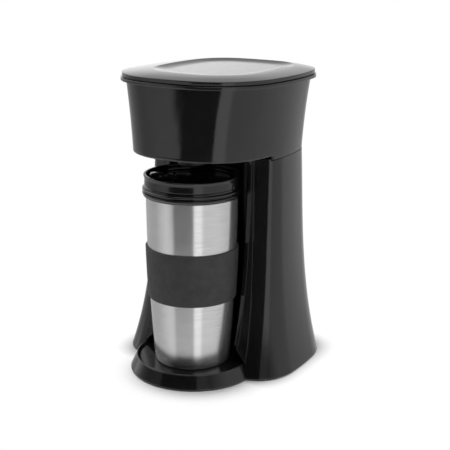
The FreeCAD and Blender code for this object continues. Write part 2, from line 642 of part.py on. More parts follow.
def make_tower_shell():
    tower = new_body("tower_shell")
    tower_loft(tower, "Additive", "tower_out", as_size(0.0))
    tower_loft(tower, "Subtractive", "tower_in", S.wall)
    # behind the pillars the wall stops at the seam, where the head stands on it
    step = new_sketch(tower, "tower_step", "YZ_Plane")
    draw_polygon(step, [(step_y - S.fit_gap, S.seam_z), (3 * S.base_rear, S.seam_z),
                        (3 * S.base_rear, lip_z + 1), (step_y - S.fit_gap, lip_z + 1)])
    pocket(tower, step, 3 * S.base_half, both=True)
    niche = new_sketch(tower, "tower_niche", "XY_Plane", lift=S.skirt_z - 1)
    draw_circle(niche, 0.0, S.niche_y, S.niche_r)
    pocket(tower, niche, lip_z + 2, back=True)
    # the pillars' feet leave room for the sloped wall of the tray
    slope = (S.tray_foot_r - S.tray_rim_r) / (S.tray_rim_z - S.skirt_z)
    turned(tower, "tower_tray_room", [
        (0.0, S.skirt_z - 1), (S.tray_foot_r + slope + S.fit_gap, S.skirt_z - 1),
        (S.tray_rim_r - slope + S.fit_gap, S.tray_rim_z + 1), (0.0, S.tray_rim_z + 1)], S.tray_y, cut=True)
    # screw bosses, joined to the flared wall
    for x, y, top in boss_places():
        post = new_sketch(tower, "tower_boss", "XY_Plane", lift=cover_top_z)
        draw_circle(post, x, y, S.boss_r)
        pad(tower, post, top - cover_top_z)
        bore = new_sketch(tower, "tower_boss_bore", "XY_Plane", lift=cover_top_z)
        draw_circle(bore, x, y, S.screw_r)
        pocket(tower, bore, S.screw_long, back=True)
    # seat and window of the power switch on the left flank
    seat_x = S.seam_half - S.switch_sink
    seat = new_sketch(tower, "switch_seat", "YZ_Plane", lift=-seat_x)
    tall = S.switch_tall / 2 + S.fit_gap
    wide = S.switch_wide / 2 + S.fit_gap
    draw_rounded(seat, S.switch_y - wide, S.switch_y + wide, switch_z - tall, switch_z + tall, 1.5)
    pocket(tower, seat, 10.0)
    window = new_sketch(tower, "switch_window", "YZ_Plane", lift=-seat_x)
    tall = S.switch_tall / 2 - S.switch_rim + S.fit_gap
    wide = S.switch_wide / 2 - S.switch_rim + S.fit_gap
    draw_rounded(window, S.switch_y - wide, S.switch_y + wide, switch_z - tall, switch_z + tall, 1.0)
    pocket(tower, window, 10.0, both=True)
    gland_y = S.widest_y + S.base_rear - S.gland_in
    flat_seat = new_sketch(tower, "gland_seat", "XZ_Plane", lift=-gland_y)
    draw_circle(flat_seat, S.gland_x, S.gland_z, S.gland_flange_r + S.fit_gap)
    pocket(tower, flat_seat, 20.0)
    cord = new_sketch(tower, "cord_hole", "XZ_Plane", lift=-(S.widest_y + S.base_rear))
    draw_circle(cord, S.gland_x, S.gland_z, S.gland_r)
    pocket(tower, cord, 30.0, back=True)
    return tower


def boss_places():
    return [(S.side_boss_x, S.side_boss_y, S.side_boss_top), (-S.side_boss_x, S.side_boss_y, S.side_boss_top),
            (S.rear_boss_x, S.rear_boss_y, S.rear_boss_top), (-S.rear_boss_x, S.rear_boss_y, S.rear_boss_top)]


def tray_boss_places():
    return [(S.tray_boss_r * math.cos(turn), S.tray_y + S.tray_boss_r * math.sin(turn))
            for turn in (math.radians(angle) for angle in (90, 210, 330))]


def make_niche_liner():
    # A curved wall that fills the hollow of the tower behind the pillars' front faces.
    core = new_body("liner_core", keep=False)
    tower_loft(core, "Additive", "liner_room", S.wall + S.run_gap)
    ring = new_body("liner_ring", keep=False)
    band = new_sketch(ring, "liner_band", "XY_Plane", lift=S.tray_rim_z + 0.4)
    draw_circle(band, 0.0, S.niche_y, S.niche_r)
    draw_circle(band, 0.0, S.niche_y, S.niche_r + S.liner_thick)
    pad(ring, band, floor_low_z - S.tray_rim_z - 0.4)
    liner = doc.addObject("Part::Common", "niche_liner")
    liner.Label = "niche_liner"
    liner.Base = ring
    liner.Tool = core
    doc.recompute()
    nodes.append(liner)
    return liner


def make_pillar_cheeks():
    # Straight inner faces of the pillars: the parts of the niche's round outside two upright planes.
    core = new_body("cheek_core", keep=False)
    tower_loft(core, "Additive", "cheek_room", as_size(0.0))
    rounds = new_body("cheek_rounds", keep=False)
    low = S.tray_rim_z + 3 * S.fit_gap
    tall = lip_z - S.fit_gap - low
    disc = new_sketch(rounds, "cheek_disc", "XY_Plane", lift=low)
    draw_circle(disc, 0.0, S.niche_y, S.niche_r - S.run_gap)
    pad(rounds, disc, tall)
    middle = new_sketch(rounds, "cheek_middle", "XY_Plane", lift=low)
    draw_polygon(middle, [(-S.cheek_x, S.niche_y - S.niche_r - 1), (S.cheek_x, S.niche_y - S.niche_r - 1),
                          (S.cheek_x, S.niche_y + S.niche_r + 1), (-S.cheek_x, S.niche_y + S.niche_r + 1)])
    pocket(rounds, middle, tall, back=True)
    for side in (1, -1):
        # the foot of each cheek slopes away from the tray's rim
        inner = (S.cheek_x - 1) * side
        outer = (S.cheek_x + S.cheek_foot_wide) * side
        foot = new_sketch(rounds, "cheek_foot", "XZ_Plane", lift=-S.niche_y)
        draw_polygon(foot, [(inner, low - 1), (outer, low - 1), (outer, low), (inner, low + S.cheek_foot_tall)])
        pocket(rounds, foot, 2 * S.niche_r + 2, both=True)
    cheeks = doc.addObject("Part::Common", "pillar_cheeks")
    cheeks.Label = "pillar_cheeks"
    cheeks.Base = rounds
    cheeks.Tool = core
    doc.recompute()
    nodes.append(cheeks)
    return cheeks


def make_tray():
    tray = new_body("tray")
    inner = S.tray_rim_r - S.tray_lip_w
    lip = S.tray_rim_z - S.tray_floor_z
    turned(tray, "tray_profile", [
        (0.0, S.tray_floor_z), (inner - lip, S.tray_floor_z), (inner, S.tray_rim_z), (S.tray_rim_r, S.tray_rim_z),
        (S.tray_foot_r, S.skirt_z), (S.tray_foot_r - S.tray_thick, S.skirt_z),
        (S.tray_rim_r - S.tray_thick, S.tray_floor_z - S.tray_thick), (0.0, S.tray_floor_z - S.tray_thick)],
        S.tray_y)
    round_edges(tray, "tray_lip_round", 0.6, lambda edge: is_ring(edge, S.tray_rim_r, S.tray_rim_z))
    # the cover's bridge to the tower passes under the rear of the wall
    gate = new_sketch(tray, "tray_gate", "XZ_Plane", lift=-S.tray_y)
    half = S.bridge_half + S.fit_gap
    draw_polygon(gate, [(-half, S.skirt_z - 1), (half, S.skirt_z - 1), (half, cover_top_z + S.fit_gap),
                        (-half, cover_top_z + S.fit_gap)])
    pocket(tray, gate, 2 * S.tray_foot_r)
    for x, y in tray_boss_places():
        post = new_sketch(tray, "tray_boss", "XY_Plane", lift=cover_top_z)
        draw_circle(post, x, y, S.boss_r)
        pad(tray, post, S.tray_floor_z - S.tray_thick - cover_top_z)
        bore = new_sketch(tray, "tray_boss_bore", "XY_Plane", lift=cover_top_z)
        draw_circle(bore, x, y, S.screw_r)
        pocket(tray, bore, S.tray_floor_z - S.tray_thick - cover_top_z, back=True)
    return tray


def foot_places():
    return [(S.foot_x, S.foot_rear_y), (-S.foot_x, S.foot_rear_y),
            (S.foot_front_x, S.foot_front_y), (-S.foot_front_x, S.foot_front_y)]


def make_bottom_cover():
    cover = new_body("bottom_cover")
    plate = plan_sketch(cover, "cover_tower", S.skirt_z, plan(tower_base_plan, inset=S.wall + S.cover_gap))
    pad(cover, plate, S.cover_thick)
    disc = new_sketch(cover, "cover_tray", "XY_Plane", lift=S.skirt_z)
    slope = (S.tray_foot_r - S.tray_rim_r) / (S.tray_floor_z - S.tray_thick - S.skirt_z)
    draw_circle(disc, 0.0, S.tray_y, S.tray_foot_r - S.tray_thick - slope * S.cover_thick - S.fit_gap)
    pad(cover, disc, S.cover_thick)
    # the tray's wall stands on the table through a slit in the cover behind the pillars
    slit = new_sketch(cover, "cover_slit", "XY_Plane", lift=S.skirt_z)
    draw_circle(slit, 0.0, S.tray_y, S.tray_foot_r + S.fit_gap)
    draw_circle(slit, 0.0, S.tray_y, S.tray_foot_r - S.tray_thick - slope * S.cover_thick - S.fit_gap)
    pocket(cover, slit, S.cover_thick, back=True)
    bridge = new_sketch(cover, "cover_bridge", "XY_Plane", lift=S.skirt_z)
    draw_polygon(bridge, [(-S.bridge_half, S.tray_y), (S.bridge_half, S.tray_y),
                          (S.bridge_half, S.boiler_y), (-S.bridge_half, S.boiler_y)])
    pad(cover, bridge, S.cover_thick)
    # pads under the boiler's straps, and the post of the terminal block
    for x in (S.strap_x, S.strap_far_x):
        for y in strap_feet_y():
            post = new_sketch(cover, "cover_strap_post", "XY_Plane", lift=cover_top_z)
            draw_circle(post, x, y, S.boss_r)
            pad(cover, post, boiler_low_z - cover_top_z)
            bore = new_sketch(cover, "cover_strap_bore", "XY_Plane", lift=cover_top_z)
            draw_circle(bore, x, y, S.screw_r)
            pocket(cover, bore, boiler_low_z - cover_top_z, back=True)
    for sign in (1, -1):
        rest = new_sketch(cover, "cover_boiler_rest", "XY_Plane", lift=cover_top_z)
        draw_rounded(rest, S.strap_far_x, S.strap_x, S.boiler_y + sign * S.boiler_bend - S.boss_r / 2,
                     S.boiler_y + sign * S.boiler_bend + S.boss_r / 2, 1.0)
        pad(cover, rest, boiler_low_z - cover_top_z)
    stand = new_sketch(cover, "cover_block_stand", "XY_Plane", lift=cover_top_z)
    draw_rounded(stand, S.block_x - S.block_wide / 2, S.block_x + S.block_wide / 2,
                 S.block_y - S.block_long / 2, S.block_y + S.block_long / 2, 1.0)
    pad(cover, stand, 3.0)
    # screw holes with sunk heads, and seats for the feet
    for x, y in [(x, y) for x, y, top in boss_places()] + tray_boss_places():
        hole = new_sketch(cover, "cover_screw_hole", "XY_Plane", lift=S.skirt_z)
        draw_circle(hole, x, y, S.screw_r + S.fit_gap)
        pocket(cover, hole, S.cover_thick, back=True)
        sink = new_sketch(cover, "cover_screw_sink", "XY_Plane", lift=S.skirt_z)
        draw_circle(sink, x, y, S.screw_head_r + S.fit_gap)
        pocket(cover, sink, S.screw_head_thick, back=True)
    for x, y in foot_places():
        seat = new_sketch(cover, "cover_foot_seat", "XY_Plane", lift=S.skirt_z)
        draw_circle(seat, x, y, S.foot_r)
        pocket(cover, seat, S.foot_sink, back=True)
    # cooling slots under the boiler
    for i in range(5):
        x = -24.0 + 12.0 * i
        slot = new_sketch(cover, "cover_vent", "XY_Plane", lift=S.skirt_z)
        draw_rounded(slot, x - 1.5, x + 1.5, S.boiler_y - 6.0, S.boiler_y + 6.0, 1.4)
        pocket(cover, slot, S.cover_thick, back=True)
    return cover


def make_feet():
    feet = new_body("feet")
    disc = new_sketch(feet, "feet_discs", "XY_Plane")
    for x, y in foot_places():
        draw_circle(disc, x, y, S.foot_r)
    pad(feet, disc, S.skirt_z + S.foot_sink)
    return feet


def make_screws(label, places, head_z, long, up=True):
    # Heads at head_z, shanks rising into the bosses or, with up off, going down into them.
    screws = new_body(label)
    heads = new_sketch(screws, f"{label}_heads", "XY_Plane", lift=head_z)
    shanks = new_sketch(screws, f"{label}_shanks", "XY_Plane", lift=head_z)
    for x, y in places:
        draw_circle(heads, x, y, S.screw_head_r)
        draw_circle(shanks, x, y, S.screw_r)
    pad(screws, shanks, long + S.screw_head_thick, back=not up)
    pad(screws, heads, S.screw_head_thick, back=not up)
    return screws


def make_filter_basket():
    basket = new_body("filter_basket")
    top_z = floor_top_z + S.basket_tall
    wall = S.basket_wall
    turned(basket, "basket_profile", [
        (0.0, floor_top_z), (S.basket_foot_r, floor_top_z), (S.basket_top_r, top_z - wall),
        (S.basket_rim_r, top_z - wall), (S.basket_rim_r, top_z), (S.basket_top_r - wall, top_z),
        (S.basket_foot_r - wall, floor_top_z + wall), (0.0, floor_top_z + wall)], S.basket_y)
    nozzle = new_sketch(basket, "basket_nozzle", "XY_Plane", lift=floor_top_z)
    draw_circle(nozzle, 0.0, S.niche_y, S.outlet_r)
    pad(basket, nozzle, S.outlet_drop + S.floor_thick, back=True)
    round_edges(basket, "nozzle_round", 2.0,
                lambda edge: is_ring(edge, S.outlet_r, floor_top_z - S.outlet_drop - S.floor_thick))
    bore = new_sketch(basket, "basket_bore", "XY_Plane", lift=floor_top_z + wall)
    draw_circle(bore, 0.0, S.niche_y, S.outlet_bore)
    pocket(basket, bore, S.outlet_drop + S.floor_thick + 2 * wall)
    return basket


def make_mesh_filter():
    mesh = new_body("mesh_filter")
    top_z = floor_top_z + S.basket_tall
    wall = S.basket_wall
    low_z = floor_top_z + wall + S.mesh_gap
    low_r = S.basket_foot_r - wall - S.mesh_gap
    top_r = S.basket_top_r - wall - S.mesh_gap
    turned(mesh, "mesh_profile", [
        (0.0, low_z), (low_r, low_z), (top_r, top_z), (S.basket_rim_r, top_z),
        (S.basket_rim_r, top_z + S.mesh_ring), (top_r - S.mesh_thick, top_z + S.mesh_ring),
        (low_r - S.mesh_thick, low_z + S.mesh_thick), (0.0, low_z + S.mesh_thick)], S.basket_y)
    # finger tab at the front of the ring
    tab = new_sketch(mesh, "mesh_tab", "XY_Plane", lift=top_z)
    draw_rounded(tab, -6.0, 6.0, S.basket_y - top_r + 0.2, S.basket_y - top_r + 3.0, 1.2)
    pad(mesh, tab, S.mesh_ring + 3.5)
    return mesh


def make_water_tank():
    tank = new_body("water_tank")
    half, step, wall, radius = S.tank_half, S.tank_step, S.tank_wall, S.tank_corner_r
    lower = new_sketch(tank, "tank_lower", "XY_Plane", lift=tank_low_z)
    draw_rounded(lower, step - half, half - step, S.tank_front_y + step, S.tank_rear_y - step, radius)
    pad(tank, lower, floor_top_z - tank_low_z)
    upper = new_sketch(tank, "tank_upper", "XY_Plane", lift=floor_top_z)
    draw_rounded(upper, -half, half, S.tank_front_y, S.tank_rear_y, radius)
    pad(tank, upper, tank_top_z - floor_top_z)
    well = new_sketch(tank, "tank_well", "XY_Plane", lift=tank_low_z + wall)
    inset = step + wall
    draw_rounded(well, inset - half, half - inset, S.tank_front_y + inset, S.tank_rear_y - inset, radius - wall)
    pocket(tank, well, tank_top_z - tank_low_z, back=True)
    mouth = new_sketch(tank, "tank_mouth", "XY_Plane", lift=floor_top_z + wall)
    draw_rounded(mouth, wall - half, half - wall, S.tank_front_y + wall, S.tank_rear_y - wall, radius - wall)
    pocket(tank, mouth, tank_top_z - floor_top_z, back=True)
    spout = new_sketch(tank, "tank_nipple", "XY_Plane", lift=tank_low_z)
    draw_circle(spout, S.nipple_x, S.nipple_y, S.nipple_r)
    pad(tank, spout, S.nipple_long, back=True)
    bore = new_sketch(tank, "tank_nipple_bore", "XY_Plane", lift=tank_low_z + wall)
    draw_circle(bore, S.nipple_x, S.nipple_y, S.nipple_bore)
    pocket(tank, bore, S.nipple_long + 2 * wall)
    return tank


# The boiler is a U lying flat: the water runs in its upper bore, the element in its lower one.
boiler_low_z = S.boiler_z - S.boiler_tall / 2
boiler_top_z = S.boiler_z + S.boiler_tall / 2
water_z = S.boiler_z + S.bore_rise
element_z = S.boiler_z - S.bore_rise


def strap_feet_y():
    reach = S.boiler_bend + S.boiler_wide / 2 + S.strap_foot / 2
    return [S.boiler_y - reach, S.boiler_y + reach]


def u_path(body, name, height, reach):
    # The U's centre line, its legs ending reach past the boiler's ends.
    path = new_sketch(body, name, "XY_Plane", lift=height)
    end_x = S.boiler_end_x + reach
    low_y = S.boiler_y - S.boiler_bend
    high_y = S.boiler_y + S.boiler_bend
    bend_x = S.boiler_bend_x
    path.addGeometry(Part.LineSegment(flat(end_x.number, low_y.number), flat(bend_x.number, low_y.number)))
    path.addGeometry(arc((bend_x.number, S.boiler_y.number), S.boiler_bend.number, math.pi / 2, 1.5 * math.pi))
    path.addGeometry(Part.LineSegment(flat(bend_x.number, high_y.number), flat(end_x.number, high_y.number)))
    path.addConstraint(Sketcher.Constraint("Coincident", 0, 2, 1, 2))
    path.addConstraint(Sketcher.Constraint("Coincident", 1, 1, 2, 1))
    fix_radius(path, 1, S.boiler_bend)
    for geo, pos, x, y in ((0, 1, end_x, low_y), (0, 2, bend_x, low_y), (2, 2, end_x, high_y)):
        fix_point(path, geo, pos, "x", x)
        fix_point(path, geo, pos, "y", y)
    fix_point(path, 1, 3, "x", bend_x)
    return path


def u_pipe(body, kind, name, height, reach, draw):
    path = u_path(body, f"{name}_path", height, reach)
    ring = new_sketch(body, f"{name}_section", "YZ_Plane", lift=S.boiler_end_x + reach)
    draw(ring)
    made = body.newObject(f"PartDesign::{kind}Pipe", name)
    made.Profile = ring
    made.Spine = path
    doc.recompute()
    return made


def make_boiler():
    boiler = new_body("boiler")
    leg_y = S.boiler_y - S.boiler_bend
    half = S.boiler_wide / 2
    u_pipe(boiler, "Additive", "boiler_bar", S.boiler_z, as_size(0.0), lambda ring: draw_rounded(
        ring, leg_y - half, leg_y + half, boiler_low_z, boiler_top_z, half - 0.5))
    for y in (S.boiler_y - S.boiler_bend, S.boiler_y + S.boiler_bend):
        spigot = new_sketch(boiler, "boiler_spigot", "YZ_Plane", lift=S.boiler_end_x)
        draw_circle(spigot, y, water_z, S.spigot_r)
        pad(boiler, spigot, S.spigot_long)
    u_pipe(boiler, "Subtractive", "boiler_water", water_z, S.spigot_long,
           lambda ring: draw_circle(ring, leg_y, water_z, S.water_r))
    u_pipe(boiler, "Subtractive", "boiler_bore", element_z, as_size(1.0),
           lambda ring: draw_circle(ring, leg_y, element_z, S.element_r + S.run_gap))
    return boiler


def make_element():
    element = new_body("heating_element")
    leg_y = S.boiler_y - S.boiler_bend
    u_pipe(element, "Additive", "element_rod", element_z, S.element_reach,
           lambda ring: draw_circle(ring, leg_y, element_z, S.element_r))
    for y in (leg_y, S.boiler_y + S.boiler_bend):
        tag = new_sketch(element, "element_tag", "YZ_Plane", lift=S.boiler_end_x + S.element_reach)
        draw_rounded(tag, y - 2.4, y + 2.4, element_z - 0.4, element_z + 0.4, 0.3)
        pad(element, tag, 7.0)
    return element


def make_straps():
    # Two steel straps over the boiler's legs, bent down to the cover's posts.
    straps = new_body("boiler_straps")
    reach = S.boiler_bend + S.boiler_wide / 2 + S.fit_gap
    inner_low = S.boiler_y - reach
    inner_high = S.boiler_y + reach
    thick = S.strap_thick
    foot = S.strap_foot + thick
    top = boiler_top_z + S.fit_gap / 3
    for x in (S.strap_x, S.strap_far_x):
        band = new_sketch(straps, "strap_profile", "YZ_Plane", lift=x)
        draw_polygon(band, [
            (inner_low - foot, boiler_low_z), (inner_low, boiler_low_z), (inner_low, top), (inner_high, top),
            (inner_high, boiler_low_z), (inner_high + foot, boiler_low_z),
            (inner_high + foot, boiler_low_z + thick), (inner_high + thick, boiler_low_z + thick),
            (inner_high + thick, top + thick), (inner_low - thick, top + thick),
            (inner_low - thick, boiler_low_z + thick), (inner_low - foot, boiler_low_z + thick)])
        pad(straps, band, S.strap_wide, both=True)
    holes = new_sketch(straps, "strap_holes", "XY_Plane", lift=boiler_low_z)
    for x, y in strap_screw_places():
        draw_circle(holes, x, y, S.screw_r + S.run_gap)
    pocket(straps, holes, thick, back=True)
    return straps


def strap_screw_places():
    return [(x, y) for x in (S.strap_x, S.strap_far_x) for y in strap_feet_y()]


def make_thermostat():
    stat = new_body("thermostat")
    leg_y = S.boiler_y - S.boiler_bend
    low = boiler_top_z
    can = new_sketch(stat, "stat_can", "XY_Plane", lift=low)
    draw_circle(can, S.stat_x, leg_y, S.stat_r)
    pad(stat, can, S.stat_tall)
    base = new_sketch(stat, "stat_base", "XY_Plane", lift=low + S.stat_tall)
    draw_circle(base, S.stat_x, leg_y, S.stat_r - 1.5)
    pad(stat, base, 4.0)
    for sign in (1, -1):
        tag = new_sketch(stat, "stat_tag", "XY_Plane", lift=low + S.stat_tall + 4.0)
        draw_rounded(tag, S.stat_x + sign * 4.0 - 0.4, S.stat_x + sign * 4.0 + 0.4, leg_y - 2.4, leg_y + 2.4, 0.3)
        pad(stat, tag, 6.0)
    return stat


def make_fuse():
    fuse = new_body("thermal_fuse")
    body_y = S.boiler_y + S.boiler_bend
    can = new_sketch(fuse, "fuse_can", "YZ_Plane", lift=S.stat_x)
    draw_circle(can, body_y, boiler_top_z + S.fuse_r, S.fuse_r)
    pad(fuse, can, S.fuse_long, both=True)
    return fuse


hose_bore = S.spigot_r + S.run_gap
hose_r = hose_bore + S.hose_wall
riser_y = S.boiler_y - S.boiler_bend
cold_y = S.boiler_y + S.boiler_bend
valve_low_z = S.valve_z - S.valve_long / 2
valve_top_z = S.valve_z + S.valve_long / 2


def make_hoses():
    start_x = S.boiler_end_x + S.fit_gap
    hot = routed_tube([(start_x, riser_y, water_z), (S.riser_x, riser_y, water_z),
                       (S.riser_x, riser_y, riser_top_z)], hose_r, S.hose_bend, hose_bore)
    keep_shape("hot_hose", hot)
    upper = routed_tube([(S.nipple_x, S.nipple_y, tank_low_z - S.fit_gap),
                         (S.nipple_x, S.nipple_y, valve_top_z + S.fit_gap)], hose_r, S.hose_bend, hose_bore)
    lower = routed_tube([(S.nipple_x, S.nipple_y, valve_low_z - S.fit_gap),
                         (S.nipple_x, S.nipple_y, S.cold_turn_z), (S.cold_turn_x, cold_y, S.cold_turn_z),
                         (S.cold_turn_x, cold_y, water_z), (start_x, cold_y, water_z)],
                        hose_r, S.hose_bend, hose_bore)
    keep_shape("cold_hoses", Part.makeCompound([upper, lower]))


def make_check_valve():
    valve = new_body("check_valve")
    can = new_sketch(valve, "valve_can", "XY_Plane", lift=S.valve_z)
    draw_circle(can, S.nipple_x, S.nipple_y, S.valve_r)
    pad(valve, can, S.valve_long, both=True)
    ends = new_sketch(valve, "valve_ends", "XY_Plane", lift=S.valve_z)
    draw_circle(ends, S.nipple_x, S.nipple_y, S.spigot_r)
    pad(valve, ends, S.valve_long + 2 * S.valve_reach, both=True)
    bore = new_sketch(valve, "valve_bore", "XY_Plane", lift=S.valve_z)
    draw_circle(bore, S.nipple_x, S.nipple_y, S.nipple_bore)
    pocket(valve, bore, S.valve_long + 2 * S.valve_reach, both=True)
    return valve


def make_spreader():
    # A flat arm from the top of the hot hose to a shower head over the basket.
    arm = new_body("spreader")
    low, thick = spread_z, S.spread_thick
    head = new_sketch(arm, "spread_head", "XY_Plane", lift=low)
    draw_circle(head, 0.0, S.basket_y, S.spread_r)
    pad(arm, head, thick)
    half = S.spread_wide / 2
    reach = new_sketch(arm, "spread_arm", "XY_Plane", lift=low)
    draw_polygon(reach, [(-half, S.basket_y), (half, S.basket_y), (half, riser_y - half),
                         (S.riser_x, riser_y - half), (S.riser_x, riser_y + half), (-half, riser_y + half)])
    pad(arm, reach, thick)
    cap = new_sketch(arm, "spread_cap", "XY_Plane", lift=low)
    draw_circle(cap, S.riser_x, riser_y, hose_r)
    pad(arm, cap, thick)
    peg = new_sketch(arm, "spread_peg", "XY_Plane", lift=low)
    draw_circle(peg, S.riser_x, riser_y, S.spigot_r)
    pad(arm, peg, S.spigot_long, back=True)
    duct = new_sketch(arm, "spread_duct", "XY_Plane", lift=low + 1.6)
    draw_polygon(duct, [(1.6 - half, S.basket_y - 6), (half - 1.6, S.basket_y - 6), (half - 1.6, riser_y + 1.6 - half),
                        (S.riser_x, riser_y + 1.6 - half), (S.riser_x, riser_y + half - 1.6),
                        (1.6 - half, riser_y + half - 1.6)])
    pocket(arm, duct, thick - 3.2, back=True)
    feed = new_sketch(arm, "spread_feed", "XY_Plane", lift=low - S.spigot_long)
    draw_circle(feed, S.riser_x, riser_y, S.nipple_bore)
    pocket(arm, feed, S.spigot_long + 3.0, back=True)
    holes = new_sketch(arm, "spread_holes", "XY_Plane", lift=low + 2.0)
    for y in (-4.0, 0.0, 4.0):
        draw_circle(holes, 0.0, S.basket_y + y, S.spread_hole_r)
    pocket(arm, holes, 2.5)
    return arm


def make_terminal_block():
    block = new_body("terminal_block")
    low = cover_top_z + 3.0
    half_w, half_l = S.block_wide / 2, S.block_long / 2
    brick = new_sketch(block, "block_brick", "XY_Plane", lift=low)
    draw_rounded(brick, S.block_x - half_w, S.block_x + half_w, S.block_y - half_l, S.block_y + half_l, 1.5)
    pad(block, brick, S.block_tall)
    ways = new_sketch(block, "block_ways", "XY_Plane", lift=low + S.block_tall)
    for step in (-1, 0, 1):
        draw_circle(ways, S.block_x, S.block_y + step * S.block_long / 3, S.block_screw_r)
    pocket(block, ways, S.block_tall / 2)
    return block


def make_wires():
    # Insulated leads between the terminal block, switch, thermostat, fuse and element.
    block_z = cover_top_z + 3.0 + S.block_tall + S.fit_gap
    tag_x = S.switch_deep - S.seam_half + S.switch_sink + 2.5
    tag_z = switch_z - 7.0 - S.fit_gap
    stat_z = boiler_top_z + S.stat_tall + 4.0 + 6.0 + S.fit_gap
    fuse_z = boiler_top_z + S.fuse_r
    reach = S.fuse_long / 2 + S.fit_gap
    tail_x = S.boiler_end_x + S.element_reach + 7.0 + S.fit_gap
    third = S.block_long / 3
    routes = [
        [(S.block_x, S.block_y - third, block_z), (S.block_x, S.block_y - third, block_z + 20),
         (tag_x, S.block_y - third, block_z + 60), (tag_x, S.block_y - third, tag_z - 50),
         (tag_x, S.switch_y + 3.0, tag_z - 25), (tag_x, S.switch_y + 3.0, tag_z)],
        [(tag_x, S.switch_y - 3.0, tag_z), (tag_x, S.switch_y - 3.0, tag_z - 30), (tag_x, riser_y - 14, 75.0),
         (S.stat_x - 4.0, riser_y - 14, stat_z + 12), (S.stat_x - 4.0, riser_y, stat_z + 12),
         (S.stat_x - 4.0, riser_y, stat_z)],
        [(S.stat_x + 4.0, riser_y, stat_z), (S.stat_x + 4.0, riser_y, stat_z + 8),
         (S.stat_x + 4.0, riser_y - 12, stat_z + 8), (tail_x + 8, riser_y - 12, stat_z - 12),
         (tail_x + 8, riser_y - 12, element_z), (tail_x + 8, riser_y, element_z), (tail_x, riser_y, element_z)],
        [(S.stat_x + reach, cold_y, fuse_z), (S.boiler_end_x + 1, cold_y, fuse_z),
         (tail_x + 9, S.boiler_y, fuse_z), (tail_x + 9, S.boiler_y, element_z),
         (tail_x + 9, cold_y, element_z), (tail_x, cold_y, element_z)],
        [(S.stat_x - reach, cold_y, fuse_z), (S.boiler_bend_x, cold_y, fuse_z),
         (S.block_x + 8, S.block_y + third, fuse_z + 5), (S.block_x, S.block_y + third, fuse_z + 5),
         (S.block_x, S.block_y + third, block_z)],
    ]
    keep_shape("wires", Part.makeCompound([routed_tube(route, S.wire_r, S.wire_bend) for route in routes]))


def make_cord_gland():
    gland = new_body("cord_gland")
    rear_y = S.widest_y + S.base_rear
    ring = new_sketch(gland, "gland_sleeve", "XZ_Plane", lift=-(rear_y - S.gland_in))
    draw_circle(ring, S.gland_x, S.gland_z, S.gland_r)
    pad(gland, ring, S.gland_long, back=False)
    rim = new_sketch(gland, "gland_rim", "XZ_Plane", lift=-(rear_y - S.gland_in))
    draw_circle(rim, S.gland_x, S.gland_z, S.gland_flange_r)
    pad(gland, rim, S.gland_rim, back=True)
    bore = new_sketch(gland, "gland_bore_ring", "XZ_Plane", lift=-(rear_y - S.gland_in))
    draw_circle(bore, S.gland_x, S.gland_z, S.gland_bore)
    pocket(gland, bore, 3 * S.gland_long, both=True)
    return gland


seat_x = S.switch_sink - S.seam_half


def make_switch_frame():
    # Rectangular snap-in body with a rim on the flank and two tags behind.
    frame = new_body("switch_frame")
    rim = new_sketch(frame, "frame_rim", "YZ_Plane", lift=seat_x)
    tall, wide = S.switch_tall / 2, S.switch_wide / 2
    draw_rounded(rim, S.switch_y - wide, S.switch_y + wide, switch_z - tall, switch_z + tall, 1.2)
    pad(frame, rim, S.switch_rim, back=True)
    box = new_sketch(frame, "frame_box", "YZ_Plane", lift=seat_x)
    tall, wide = tall - S.switch_rim, wide - S.switch_rim
    draw_rounded(box, S.switch_y - wide, S.switch_y + wide, switch_z - tall, switch_z + tall, 0.8)
    pad(frame, box, S.switch_deep)
    well = new_sketch(frame, "frame_well", "YZ_Plane", lift=seat_x - S.switch_rim)
    tall = S.rocker_round + S.fit_gap
    wide = S.rocker_wide / 2 + S.fit_gap
    draw_rounded(well, S.switch_y - wide, S.switch_y + wide, switch_z - tall, switch_z + tall, 0.3)
    pocket(frame, well, S.switch_deep + S.switch_rim - 2.0, back=True)
    tags = new_sketch(frame, "frame_tags", "YZ_Plane", lift=seat_x + S.switch_deep)
    for y in (S.switch_y - 3.0, S.switch_y + 3.0):
        draw_rounded(tags, y - 0.4, y + 0.4, switch_z - 7.0, switch_z - 2.0, 0.3)
    pad(frame, tags, 4.0)
    return frame


rocker_x = seat_x - S.switch_rim + S.rocker_pivot


def make_rocker():
    # Seen from the side the rocker is a round barrel with a shallow V face, tilted to off.
    rocker = new_body("switch_rocker")
    side = new_sketch(rocker, "rocker_side", "XZ_Plane", lift=-S.switch_y, shift_x=rocker_x, shift_y=switch_z)
    turn = math.radians(-S.rocker_tilt.number)
    face = S.rocker_pivot + S.rocker_proud
    half = S.rocker_half
    points = [(-face, half), (S.rocker_dip - face, 0.0), (-face, -half), (S.rocker_back, -half),
              (S.rocker_back + 1.0, 0.0), (S.rocker_back, half)]
    tilted = []
    for x, z in points:
        x, z = as_size(x), as_size(z)
        tilted.append((x * math.cos(turn) - z * math.sin(turn), x * math.sin(turn) + z * math.cos(turn)))
    draw_polygon(side, tilted)
    pad(rocker, side, S.rocker_wide, both=True)
    axle = new_sketch(rocker, "rocker_axle", "XZ_Plane", lift=-S.switch_y, shift_x=rocker_x, shift_y=switch_z)
    draw_circle(axle, 0.0, 0.0, S.rocker_axle_r)
    pad(rocker, axle, S.rocker_wide + 2 * S.fit_gap - 0.1, both=True)
    return rocker


